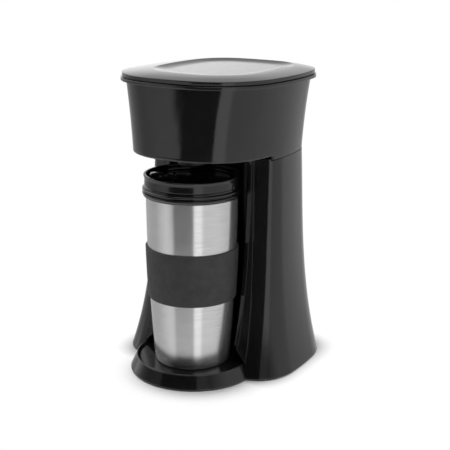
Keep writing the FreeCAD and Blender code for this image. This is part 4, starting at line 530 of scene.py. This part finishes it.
def makeLid():
    s = lidShape
    edge, lipLow, underside, top = s["edgeInset"], s["lipLow"], s["underside"], s["top"]
    rise = top - (underside + s["edgeTall"])
    floor = top - s["dishDepth"]
    rings = [lidRing(s["middleInset"], underside, shrink) for shrink in s["underShrink"]]
    rings += [lidRing(inset, underside) for inset in (*s["underInsets"], edge + s["lipBack"])]
    rings += [lidRing(edge + s["lipFoot"], lipLow), lidRing(edge + s["lipEdge"], lipLow)]
    rings += [lidRing(edge, lipLow + s["lipRise"])]
    for i in range(s["crownRings"] + 1):
        share = (i / s["crownRings"]) ** s["crownCrowd"]
        fall = s["crownStraight"] * (1 - share) + (1 - s["crownStraight"]) * (1 - share) ** 2
        rings.append(lidRing(edge + (s["crestInset"] - edge) * share, top - rise * fall, 1.0, share))
    for i in range(1, s["dishRings"] + 1):
        share = i / s["dishRings"]
        inset = s["crestInset"] + (s["dishInset"] - s["crestInset"]) * share
        rings.append(lidRing(inset, top - s["dishDepth"] * (1 - (1 - share) ** 2), 1.0, 1.0))
    rings += [lidRing(s["middleInset"], floor, shrink, 1.0) for shrink in s["floorShrink"]]
    middle = outlines["axisY"]
    plate = bridgeRings(rings, (0, middle, underside), (0, middle + s["crestBack"], floor))
    shape = joinShapes(plate, knuckleShape(1), knuckleShape(-1))
    lid = addPiece("lidShell", *shape, "lid", "gloss_black", smoothAngle=50)
    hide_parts("lid")


makeLid()
print("lid modelled")

# Rolled lip round the foot of the head
headLip = {
    "height": 0.1986,
    "radius": 0.0020,
    "inset": 0.0017,
    "fromTurn": 196,
    "toTurn": 344,
    "steps": 110,
}


def seamPath(p):
    turns = [math.radians(p["fromTurn"] + (p["toTurn"] - p["fromTurn"]) * i / p["steps"])
             for i in range(p["steps"] + 1)]
    return [(*outlinePoint(outlines["seam"], turn, p["inset"]), p["height"]) for turn in turns]


def makeHeadLip():
    path = seamPath(headLip)
    shape = bridgeRings(sweptRings(path, headLip["radius"]), path[0], path[-1])
    addPiece("headLip", *shape, "body", "gloss_black")


makeHeadLip()
print("head lip modelled")

# Painted shadow where the head stands on the tower: a thin near-black rod that hardly shines, standing in
# for the shade inside the gap
seamShadowRod = {
    "height": 0.1930,
    "radius": 0.00045,
    "inset": 0.00030,
    "frontY": -0.0125,
    "fromTurn": -60,
    "toTurn": 240,
    "steps": 260,
    "sides": 8,
    # tone and its paler grain: near-black painted shade for the gap's shadow
    "tone": (0.0015, 0.0015, 0.0016),
    "paleRatio": 2,
    "grain": 120,
    "rough": 0.9,
    "shine": 0.05,
}


def makeSeamShade():
    g = seamShadowRod
    material, tree = nodeTree("seamShade")
    values = {"Roughness": g["rough"], "Specular IOR Level": g["shine"]}
    shader = addNode(tree, "ShaderNodeBsdfPrincipled", values)
    pale = tuple(g["paleRatio"] * level for level in g["tone"])
    # the rod's colour is painted shade, near black, with hardly any shine
    tone = blendTones(tree, spread(tree, grainOf(tree, g["grain"]), 0, 1), g["tone"], pale)
    link(tree, tone, shader.inputs["Base Color"])
    showShader(tree, shader)
    return material


def makeSeamShadowRod():
    g = seamShadowRod
    path = [point for point in seamPath(g) if point[1] > g["frontY"]]
    shape = bridgeRings(sweptRings(path, g["radius"], g["sides"]), path[0], path[-1])
    gap = addPiece("seamShadowRod", *shape, "body", "satin_black")
    gap.data.materials[0] = makeSeamShade()


makeSeamShadowRod()
print("seam modelled")

# Thin lips along the front edges of the pillars' cheeks
cheekLip = {
    "inner": 0.0430,
    "reach": 0.0030,
    "root": 0.0014,
    "round": 0.0010,
    "roundSteps": 10,
    "sink": 0.0008,
    "low": 0.0265,
    "high": 0.1955,
    "steps": 70,
    "probe": 0.0004,        # where the cheek's front is felt for, outside its inner face
    "probeY": -0.2,
}


def makeCheekLips():
    c = cheekLip
    cheeks = frame["nodes"]["pillar_cheeks"]
    tip, root, r = c["inner"] - c["reach"] + c["round"], c["inner"] + c["root"], c["round"]
    for side, name in ((1, "cheekLipRight"), (-1, "cheekLipLeft")):
        rings = []
        for i in range(c["steps"] + 1):
            z = c["low"] + (c["high"] - c["low"]) * i / c["steps"]
            start = (side * (c["inner"] + c["probe"]), c["probeY"], z)
            hit, place = cheeks.ray_cast(start, (0, 1, 0))[:2]
            if hit:
                y = place.y + c["sink"]
                nose = rolled(tip, y, r, 270, 90, c["roundSteps"])
                rings.append([(side * px, py, z) for px, py in ((root, y - r), *nose, (root, y + r))])
        shape = bridgeRings(rings, middleOf(rings[0]), middleOf(rings[-1]))
        addPiece(name, *shape, "body", "gloss_black")


makeCheekLips()
print("cheek lips modelled")

# Mug wall: spun steel with a crisp foot
mugWall = {
    "axis": (0.0, -0.0380),
    "low": 0.0108,
    "high": 0.1610,
    "footR": 0.0335,
    "topR": 0.0399,
    "curve": 2.0,           # radius of the wall's slight swell
    "skin": 0.0008,
    "footRound": 0.0010,
    "footFlat": 0.0006,
    "seatInset": 0.0008,
    "openR": 0.0230,
    "roundTo": -8,          # degrees, where the foot's round meets the wall
    "roundSteps": 6,
    "steps": 30,
    "around": 200,
}


def mugRadius(height):
    m = mugWall
    rise, out = m["high"] - m["low"], m["topR"] - m["footR"]
    chord = math.hypot(rise, out)
    depth = math.sqrt(m["curve"] ** 2 - (chord / 2) ** 2)
    centreR = (m["footR"] + m["topR"]) / 2 - depth * rise / chord
    centreZ = (m["low"] + m["high"]) / 2 + depth * out / chord
    return centreR + math.sqrt(m["curve"] ** 2 - (height - centreZ) ** 2)


def makeMugWall():
    m = mugWall
    low, skin, r, openR = m["low"], m["skin"], m["footRound"], m["openR"]
    levels = [low + r + (m["high"] - low - r) * i / m["steps"] for i in range(m["steps"] + 1)]
    profile = [(openR, low), (m["footR"] - r - m["footFlat"], low)]
    profile += rolled(m["footR"] - r, low + r, r, -90, m["roundTo"], m["roundSteps"])
    profile += [(mugRadius(z), z) for z in levels]
    profile += [(mugRadius(z) - skin, z) for z in reversed(levels)]
    profile += [(m["footR"] - skin - m["seatInset"], low + skin), (openR, low + skin), (openR, low)]
    shape = bridgeRings(turnedRings(profile, m["axis"], m["around"]))
    wall = addPiece("mugWall", *shape, "mug", "mug_steel", smoothAngle=50)
    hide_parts("mug_shell")


makeMugWall()
print("mug wall modelled")

# Mug grip: rubber sleeve with soft edges
mugGrip = {
    "low": 0.0702,
    "high": 0.1162,
    "gap": 0.0002,
    "thick": 0.0015,
    "round": 0.00075,
    "roundSteps": 6,
    "steps": 12,
}


def makeMugGrip():
    g = mugGrip
    r, low, high, bends = g["round"], g["low"], g["high"], g["roundSteps"]
    heights = [low + (high - low) * i / g["steps"] for i in range(g["steps"] + 1)]
    inner = [(mugRadius(z) + g["gap"], z) for z in heights]
    edge = [(radius + g["thick"] - r, z) for radius, z in inner]
    profile = rolled(edge[0][0], low + r, r, -90, 0, bends)
    profile += [(radius + r, z) for radius, z in edge[1:-1]]
    profile += rolled(edge[-1][0], high - r, r, 0, 90, bends) + inner[::-1]
    shape = bridgeRings(turnedRings(profile + profile[:1], mugWall["axis"], mugWall["around"]))
    grip = addPiece("mugGrip", *shape, "mug", "grip_rubber", smoothAngle=50)
    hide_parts("mug_grip")


makeMugGrip()
print("mug grip modelled")

# Mug collar: two rolled beads with a groove between, over a short skirt
mugRim = {
    "axis": (0.0, -0.0380),
    "steps": 180,
    "collarLow": 0.1610,
    "collarTop": 0.1700,
    "collarR": 0.0430,
    "collarBore": 0.0381,
    "skirtFlat": 0.0024,              # insets are from the collar's widest radius
    "skirtInset": 0.0016,
    "skirtRound": 0.0008,
    "skirtSteps": 5,
    "lowerBead": {"height": 0.0026, "radius": 0.0009, "fromTurn": -60, "toTurn": 60, "steps": 7},
    "grooveInset": 0.0019,
    "groove": (0.0039, 0.0044),       # heights are from the collar's foot
    "upperBead": {"height": 0.0061, "radius": 0.0011, "fromTurn": -75, "toTurn": 80, "steps": 9},
    "neckInset": 0.0024,
    "neckLow": 0.0074,
    "neckEdge": 0.0003,
    "lidLow": 0.1701,
    "lidTop": 0.1795,
    "deck": 0.1745,
}


def collarBead(b):
    centreR, centreZ = mugRim["collarR"] - b["radius"], mugRim["collarLow"] + b["height"]
    return rolled(centreR, centreZ, b["radius"], b["fromTurn"], b["toTurn"], b["steps"])


def makeCollar():
    m = mugRim
    low, top, r, bore = m["collarLow"], m["collarTop"], m["collarR"], m["collarBore"]
    neck, edge, bend = r - m["neckInset"], m["neckEdge"], m["skirtRound"]
    profile = [(bore, low), (r - m["skirtFlat"], low)]
    profile += rolled(r - m["skirtInset"], low + bend, bend, -90, 0, m["skirtSteps"])
    profile += collarBead(m["lowerBead"])
    profile += [(r - m["grooveInset"], low + height) for height in m["groove"]]
    profile += collarBead(m["upperBead"])
    profile += [(neck, low + m["neckLow"]), (neck, top - edge), (neck - edge, top), (bore, top), (bore, low)]
    shape = bridgeRings(turnedRings(profile, m["axis"], m["steps"]))
    collar = addPiece("mugCollar", *shape, "mug", "mug_black", smoothAngle=50)
    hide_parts("mug_collar")


makeCollar()
print("mug collar modelled")

# Mug lid: flared wall with a rolled rim, sunk deck, drink hole, vent and rails
mugLid = {
    "footR": 0.0408,
    "footInset": 0.0004,
    "footRound": 0.0006,
    "footSteps": 4,
    "wallFoot": (0.0003, 0.0012),     # out and up from the foot
    "neck": (0.0009, 0.0036),         # in from the rim and down from the top
    "rimTuck": (0.0005, 0.0022),      # likewise
    "wallShares": (0, 0.08, 0.92, 1),      # extra rings keep the wall flat between its ends
    "rimR": 0.0418,
    "rimRound": 0.0007,
    "rimTo": -25,                     # degrees, where the rim's outer round ends
    "rimSteps": 8,
    "innerR": 0.0391,
    "innerDrop": 0.0012,
    "innerSteps": 5,
    "deckR": 0.0393,
    "deckFillet": ((0.0008, 0.0), (0.0002, 0.0003), (0.0, 0.0010)),      # in from deckR, up from the deck
    "stepR": 0.0335,
    "stepTall": 0.0007,
    "stepSlope": 0.0006,
    "stepDrop": 0.0002,
    "under": 0.1723,
    "plugR": 0.0348,
    "plugWall": 0.0020,
    "plugLow": 0.1601,
    "plugEdge": 0.0005,
    "grooveLow": 0.1631,
    "grooveTop": 0.1661,
    "grooveDeep": 0.0012,
    "drinkTurn": 211.6,
    "drinkReach": 0.0290,
    "drinkR": 0.0050,
    "ventR": 0.0012,
    "holePast": 0.002,
    "railReach": 0.0200,
    "railSize": (0.0305, 0.0020, 0.0015),
    "railRounds": (0.0008, 0.0003),   # corner, bevel
    "railAside": 0.0083,
    "railLift": 0.0001,
    "lugTurn": 2,
    "lugSize": (0.0022, 0.0034, 0.0024),
    "lugRounds": (0.0010, 0.0006),
    "lugOut": 0.0002,
    "lugLift": 0.0003,
}


def spokePoint(turn, reach, aside=0.0):
    a = math.radians(turn)
    x0, y0 = mugRim["axis"]
    return x0 + reach * math.cos(a) - aside * math.sin(a), y0 + reach * math.sin(a) + aside * math.cos(a)


def mugLidProfile():
    m, d = mugLid, mugRim
    low, top, deck = d["lidLow"], d["lidTop"], d["deck"]
    step, r, bend = deck + m["stepTall"], m["rimRound"], m["footRound"]
    profile = [(m["stepR"] - m["stepSlope"], step), (m["stepR"], step - m["stepDrop"])]
    profile += [(m["stepR"] + m["stepSlope"], deck)]
    profile += [(m["deckR"] - inset, deck + rise) for inset, rise in m["deckFillet"]]
    profile += [(m["innerR"], top - m["innerDrop"])]
    profile += rolled(m["innerR"] + r, top - r, r, 180, 90, m["innerSteps"])
    profile += rolled(m["rimR"] - r, top - r, r, 90, m["rimTo"], m["rimSteps"])
    tuck, neck = ((m["rimR"] - inset, top - drop) for inset, drop in (m["rimTuck"], m["neck"]))
    foot = (m["footR"] + m["wallFoot"][0], low + m["wallFoot"][1])
    wall = [tuple(a + (b - a) * share for a, b in zip(neck, foot)) for share in m["wallShares"]]
    profile += [tuck, *wall]
    profile += rolled(m["footR"] - m["footInset"], low + bend, bend, 0, -90, m["footSteps"])
    plug, edge = m["plugR"], m["plugEdge"]
    grooved, bore = plug - m["grooveDeep"], plug - m["plugWall"]
    profile += [(plug, low), (plug, m["grooveTop"]), (grooved, m["grooveTop"]), (grooved, m["grooveLow"])]
    profile += [(plug, m["grooveLow"]), (plug, m["plugLow"] + edge), (plug - edge, m["plugLow"])]
    return profile + [(bore, m["plugLow"]), (bore, m["under"])]


def makeMugLid():
    m, d = mugLid, mugRim
    deck, turn = d["deck"], m["drinkTurn"]
    rings = turnedRings(mugLidProfile(), d["axis"], d["steps"])
    shape = bridgeRings(rings, (*d["axis"], deck + m["stepTall"]), (*d["axis"], m["under"]))
    lid = addPiece("mugLidShell", *shape, "mug_lid", "mug_black", smoothAngle=45)
    low, high = m["under"] - m["holePast"], deck + m["holePast"]
    drink = (*spokePoint(turn, m["drinkReach"]), m["drinkR"], low, high)
    vent = (*spokePoint(turn, -m["drinkReach"]), m["ventR"], low, high)
    cutHoles(lid, (drink, vent))
    dress(lid, "mug_black")
    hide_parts("mug_lid")
    rails = []
    for side in (1, -1):
        place = spokePoint(turn, m["railReach"], side * m["railAside"])
        rails.append(roundedBlock(place, turn, m["railSize"], m["railRounds"], deck + m["railLift"]))
    addPiece("mugLidRails", *joinShapes(*rails), "mug_lid", "mug_black")
    place = spokePoint(m["lugTurn"], m["footR"] + m["lugOut"])
    lug = roundedBlock(place, m["lugTurn"], m["lugSize"], m["lugRounds"], d["lidLow"] + m["lugLift"])
    addPiece("mugLidLug", *lug, "mug_lid", "mug_black")


makeMugLid()
print("mug lid modelled")

# Closure: a slider with a low pad over the drink hole and a taller thumb stop
closure = {
    "low": 0.1754,
    "plate": {"reach": 0.0255, "size": (0.0250, 0.0140, 0.0013), "rounds": (0.0030, 0.0004), "lean": 0.0},
    "pad": {"reach": 0.0305, "size": (0.0140, 0.0128, 0.0040), "rounds": (0.0040, 0.0018), "lean": 0.0010},
    "thumb": {"reach": 0.0150, "size": (0.0040, 0.0130, 0.0044), "rounds": (0.0012, 0.0007), "lean": 0.0003},
}


def makeClosure():
    turn = mugLid["drinkTurn"]
    blocks = []
    for name in ("plate", "pad", "thumb"):
        b = closure[name]
        place = spokePoint(turn, b["reach"])
        blocks.append(roundedBlock(place, turn, b["size"], b["rounds"], closure["low"], b["lean"]))
    piece = addPiece("mugClosure", *joinShapes(*blocks), "mug_closure", "mug_black")
    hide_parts("mug_closure")


makeClosure()
print("mug closure modelled")

# Tray: rolled lip on the rim
trayLip = {
    "axis": (0.0, -0.0350),
    "rimR": 0.0516,
    "height": 0.0124,
    "radius": 0.00085,
    "sides": 12,
    "around": 200,
}


def makeTrayLip():
    t = trayLip
    profile = rolled(t["rimR"], t["height"], t["radius"], 0, 360, t["sides"])
    shape = bridgeRings(turnedRings(profile, t["axis"], t["around"]))
    addPiece("trayLip", *shape, "body", "gloss_black", smoothAngle=80)


makeTrayLip()
print("tray lip modelled")

# Floor: white, with a soft shadow painted into its colour close round the feet of the tower and the tray
floorShape = {
    "radius": 3.0,
    "sides": 96,
    "tone": 0.90,
    "towerFoot": (0.0, 0.0190, 0.0800, 0.0664),       # its shadow: middle x and y, half width, half depth
    "towerPower": 4.0,                                # a square with round corners
    "towerFade": (0.0, 0.013),                        # metres past it over which the floor turns white
    "trayFoot": (0.0074, -0.0469, 0.0480, 0.0480),
    "trayPower": 2.0,                                 # a circle
    "trayFade": (0.0, 0.024),
    # painted contact shadow: the floor's tone drops to this share at the feet and returns to full over these
    # metres
    "paintedContactShadow": (0.58, 1.0, -0.003, 0.018),            # share of the tone, from and to, over these metres
}


def shadowGap(tree, x, y, foot, power):
    middleX, middleY, halfX, halfY = foot
    total = None
    for axis, middle, half in ((x, middleX, halfX), (y, middleY, halfY)):
        away = mathOf(tree, "DIVIDE", mathOf(tree, "SUBTRACT", axis, middle), half)
        raised = mathOf(tree, "POWER", mathOf(tree, "ABSOLUTE", away), power)
        total = raised if total is None else mathOf(tree, "ADD", total, raised)
    reach = mathOf(tree, "POWER", total, 1 / power)
    return mathOf(tree, "MULTIPLY", mathOf(tree, "SUBTRACT", reach, 1.0), (halfX + halfY) / 2)


def makeFloorShade():
    f = floorShape
    material, tree = nodeTree("floor")
    coords = addNode(tree, "ShaderNodeTexCoord")
    parts = addNode(tree, "ShaderNodeSeparateXYZ")
    link(tree, coords.outputs["Object"], parts.inputs["Vector"])
    x, y = parts.outputs["X"], parts.outputs["Y"]
    towerGap = shadowGap(tree, x, y, f["towerFoot"], f["towerPower"])
    trayGap = shadowGap(tree, x, y, f["trayFoot"], f["trayPower"])
    # painted shadow: the floor's colour darkens close round the feet of the tower and the tray
    paintedContactShadow = spread(tree, mathOf(tree, "MINIMUM", towerGap, trayGap), *f["paintedContactShadow"])
    diffuse = addNode(tree, "ShaderNodeBsdfDiffuse")
    link(tree, product(tree, paintedContactShadow, f["tone"]), diffuse.inputs["Color"])
    fade = mathOf(tree, "MINIMUM", spread(tree, towerGap, 0, 1, *f["towerFade"]),
                  spread(tree, trayGap, 0, 1, *f["trayFade"]))
    path = addNode(tree, "ShaderNodeLightPath")
    white = addNode(tree, "ShaderNodeEmission", {"Color": (1, 1, 1, 1), "Strength": 1.0})
    mix = addNode(tree, "ShaderNodeMixShader")
    link(tree, product(tree, fade, path.outputs["Is Camera Ray"]), mix.inputs["Fac"])
    link(tree, diffuse.outputs["BSDF"], mix.inputs[1])
    link(tree, white.outputs["Emission"], mix.inputs[2])
    showShader(tree, mix)
    return material


def makeFloor():
    f = floorShape
    ring = turnedRings([(f["radius"], 0)], (0, 0), f["sides"])[0]
    mesh = bpy.data.meshes.new("floor")
    mesh.from_pydata(ring, [], [tuple(range(f["sides"]))])
    floor = bpy.data.objects.new("floor", mesh)
    floor.data.materials.append(makeFloorShade())
    floor.visible_glossy = False      # gloss surfaces see the surround instead
    scene.collection.objects.link(floor)


makeFloor()
print("floor laid")

# Overhead lamp
lampSheet = {
    "size": 2.4,
    "place": (0.15, 0.25, 1.9),
    "watts": 14,
}


def makeLamp():
    data = bpy.data.lights.new("overheadSheet", "AREA")
    data.shape = "DISK"
    data.size = lampSheet["size"]
    data.energy = lampSheet["watts"]
    lamp = bpy.data.objects.new("overheadSheet", data)
    lamp.location = lampSheet["place"]
    lamp.visible_glossy = False
    scene.collection.objects.link(lamp)


makeLamp()
print("lamp hung")

# Surround: pale studio with a dark card and a bright strip beside the camera, and three softboxes.
# Turns are degrees round from the front, positive toward the right; lifts are degrees up.
surround = {
    "tone": 0.90,
    "leftTone": 0.48,
    "leftTurns": (-120, -70, -34),         # the left side is dim between the first two, full from the third
    "rightTone": 0.88,
    "rearTone": 0.70,
    "rearTurns": (100, 140),               # the right side changes to the rear's tone between these
    "cardTone": 0.07,
    "cardFrom": ((-29, -17), (-18, -12.5), (-10, -21.5), (-6, -30)),      # its leaning left edge: lift, turn
    "cardSoft": 2,
    "cardTo": 37.5,
    "cardCrisp": 0.7,
    "stripTone": 1.35,
    "stripTo": 57,
    "stripSoft": 5,
    "upper": 0.45,                         # how much is left high up
    "upperLifts": (38, 58),
    "frontUpper": 0.3,                     # how much is left high in front
    "frontTurns": (-95, -60, 60, 95),
    "frontLifts": (2, 10),
    "floorGlow": 1.4,                      # the floor, as undersides see it
    "glowLifts": ((-52, 1.0), (-40, 0.7), (-28, 0.463), (-20, 0.0)),
    "topBox": 3.2,                         # softbox straight above
    "topLifts": (63, 70),
    "rearBox": 0.76,                       # softbox low behind the object
    "rearBoxTurns": (12, 34, 85, 105),     # from the rear toward the left instead
    "rearBoxLifts": (-7, -3, 7, 17),
    "leftBox": 1.7,                        # softbox high on the left
    "leftBoxTurns": (-130, -122, -56, -48),
    "leftBoxLifts": (22, 28, 56, 62),
}
fullTurn, fullLift, quarter = 180, 90, 90      # degrees


def rampOf(tree, source, stops, limit):
    span = {"From Min": math.radians(-limit), "From Max": math.radians(limit)}
    place = addNode(tree, "ShaderNodeMapRange", span)
    link(tree, source, place.inputs["Value"])
    ramp = addNode(tree, "ShaderNodeValToRGB")
    elements = ramp.color_ramp.elements
    while len(elements) < len(stops):
        elements.new(0.5)
    for element, (angle, tone) in zip(elements, stops):
        element.position = (angle + limit) / (2 * limit)
        element.color = (tone, tone, tone, 1)
    link(tree, place.outputs["Result"], ramp.inputs["Fac"])
    return ramp.outputs["Color"]


def changeOf(tree, source, angles, limit, low=0, high=1):
    start, end = angles
    return rampOf(tree, source, [(-limit, low), (start, low), (end, high), (limit, high)], limit)


def bandOf(tree, source, angles, limit):
    first, second, third, fourth = angles
    stops = [(-limit, 0), (first, 0), (second, 1), (third, 1), (fourth, 0), (limit, 0)]
    return rampOf(tree, source, stops, limit)


# Level round of the surround, with tones halved so that no ramp holds more than 1
def roundTones(tree, turn, lift):
    s = surround
    dimFrom, dimTo, full = s["leftTurns"]
    left = [(-fullTurn, s["rearTone"]), (dimFrom, s["leftTone"]), (dimTo, s["leftTone"]),
            (full, s["tone"]), (fullTurn, s["tone"])]
    paleTo, rearFrom = s["rearTurns"]
    right = [(-fullTurn, s["cardTone"]), (s["cardTo"] - s["cardCrisp"], s["cardTone"]),
             (s["cardTo"] + s["cardCrisp"], s["stripTone"]), (s["stripTo"], s["stripTone"]),
             (s["stripTo"] + s["stripSoft"], s["rightTone"]), (paleTo, s["rightTone"]),
             (rearFrom, s["rearTone"]), (fullTurn, s["rearTone"])]
    left, right = (rampOf(tree, turn, [(angle, tone / 2) for angle, tone in stops], fullTurn)
                   for stops in (left, right))
    lean = s["cardFrom"]
    stops = [(-fullLift, lean[0][1]), *lean, (fullLift, lean[-1][1])]
    edge = rampOf(tree, lift, [(up, -aside / quarter) for up, aside in stops], fullLift)
    past = mathOf(tree, "ADD", turn, product(tree, edge, math.radians(quarter)))
    inside = changeOf(tree, past, (-s["cardSoft"], s["cardSoft"]), fullTurn)
    outside = mathOf(tree, "SUBTRACT", 1.0, inside)
    around = mathOf(tree, "ADD", product(tree, right, inside), product(tree, left, outside))
    glow = rampOf(tree, lift, [(-fullLift, 1.0), *s["glowLifts"], (fullLift, 0.0)], fullLift)
    return mathOf(tree, "MAXIMUM", around, product(tree, glow, s["floorGlow"] / 2))


def surroundLight(tree, x, y, z):
    s = surround
    turn = mathOf(tree, "ARCTAN2", x, product(tree, y, -1.0))
    rearTurn = mathOf(tree, "ARCTAN2", product(tree, x, -1.0), y)
    lift = mathOf(tree, "ARCSINE", z)
    upper = changeOf(tree, lift, s["upperLifts"], fullLift, 1.0, s["upper"])
    ahead = bandOf(tree, turn, s["frontTurns"], fullTurn)
    raised = changeOf(tree, lift, s["frontLifts"], fullLift)
    dim = mathOf(tree, "SUBTRACT", 1.0, product(tree, ahead, raised, 1 - s["frontUpper"]))
    light = product(tree, roundTones(tree, turn, lift), product(tree, upper, dim), 2.0)
    boxes = [product(tree, changeOf(tree, lift, s["topLifts"], fullLift), s["topBox"])]
    for name, source in (("rearBox", rearTurn), ("leftBox", turn)):
        wide = bandOf(tree, source, s[name + "Turns"], fullTurn)
        tall = bandOf(tree, lift, s[name + "Lifts"], fullLift)
        boxes.append(product(tree, wide, tall, s[name]))
    for box in boxes:
        light = mathOf(tree, "ADD", light, box)
    return light


def makeSurround():
    world = bpy.data.worlds.new("surround")
    world.use_nodes = True
    tree = world.node_tree
    tree.nodes.clear()
    coords = addNode(tree, "ShaderNodeTexCoord")
    parts = addNode(tree, "ShaderNodeSeparateXYZ")
    link(tree, coords.outputs["Generated"], parts.inputs["Vector"])
    lit = addNode(tree, "ShaderNodeBackground")
    link(tree, surroundLight(tree, *(parts.outputs[axis] for axis in "XYZ")), lit.inputs["Color"])
    plain = addNode(tree, "ShaderNodeBackground", {"Color": (1, 1, 1, 1), "Strength": 1.0})
    path = addNode(tree, "ShaderNodeLightPath")
    mix = addNode(tree, "ShaderNodeMixShader")
    link(tree, path.outputs["Is Camera Ray"], mix.inputs["Fac"])      # the camera sees plain white
    link(tree, lit.outputs["Background"], mix.inputs[1])
    link(tree, plain.outputs["Background"], mix.inputs[2])
    out = addNode(tree, "ShaderNodeOutputWorld")
    link(tree, mix.outputs["Shader"], out.inputs["Surface"])
    scene.world = world


makeSurround()
print("surround made")
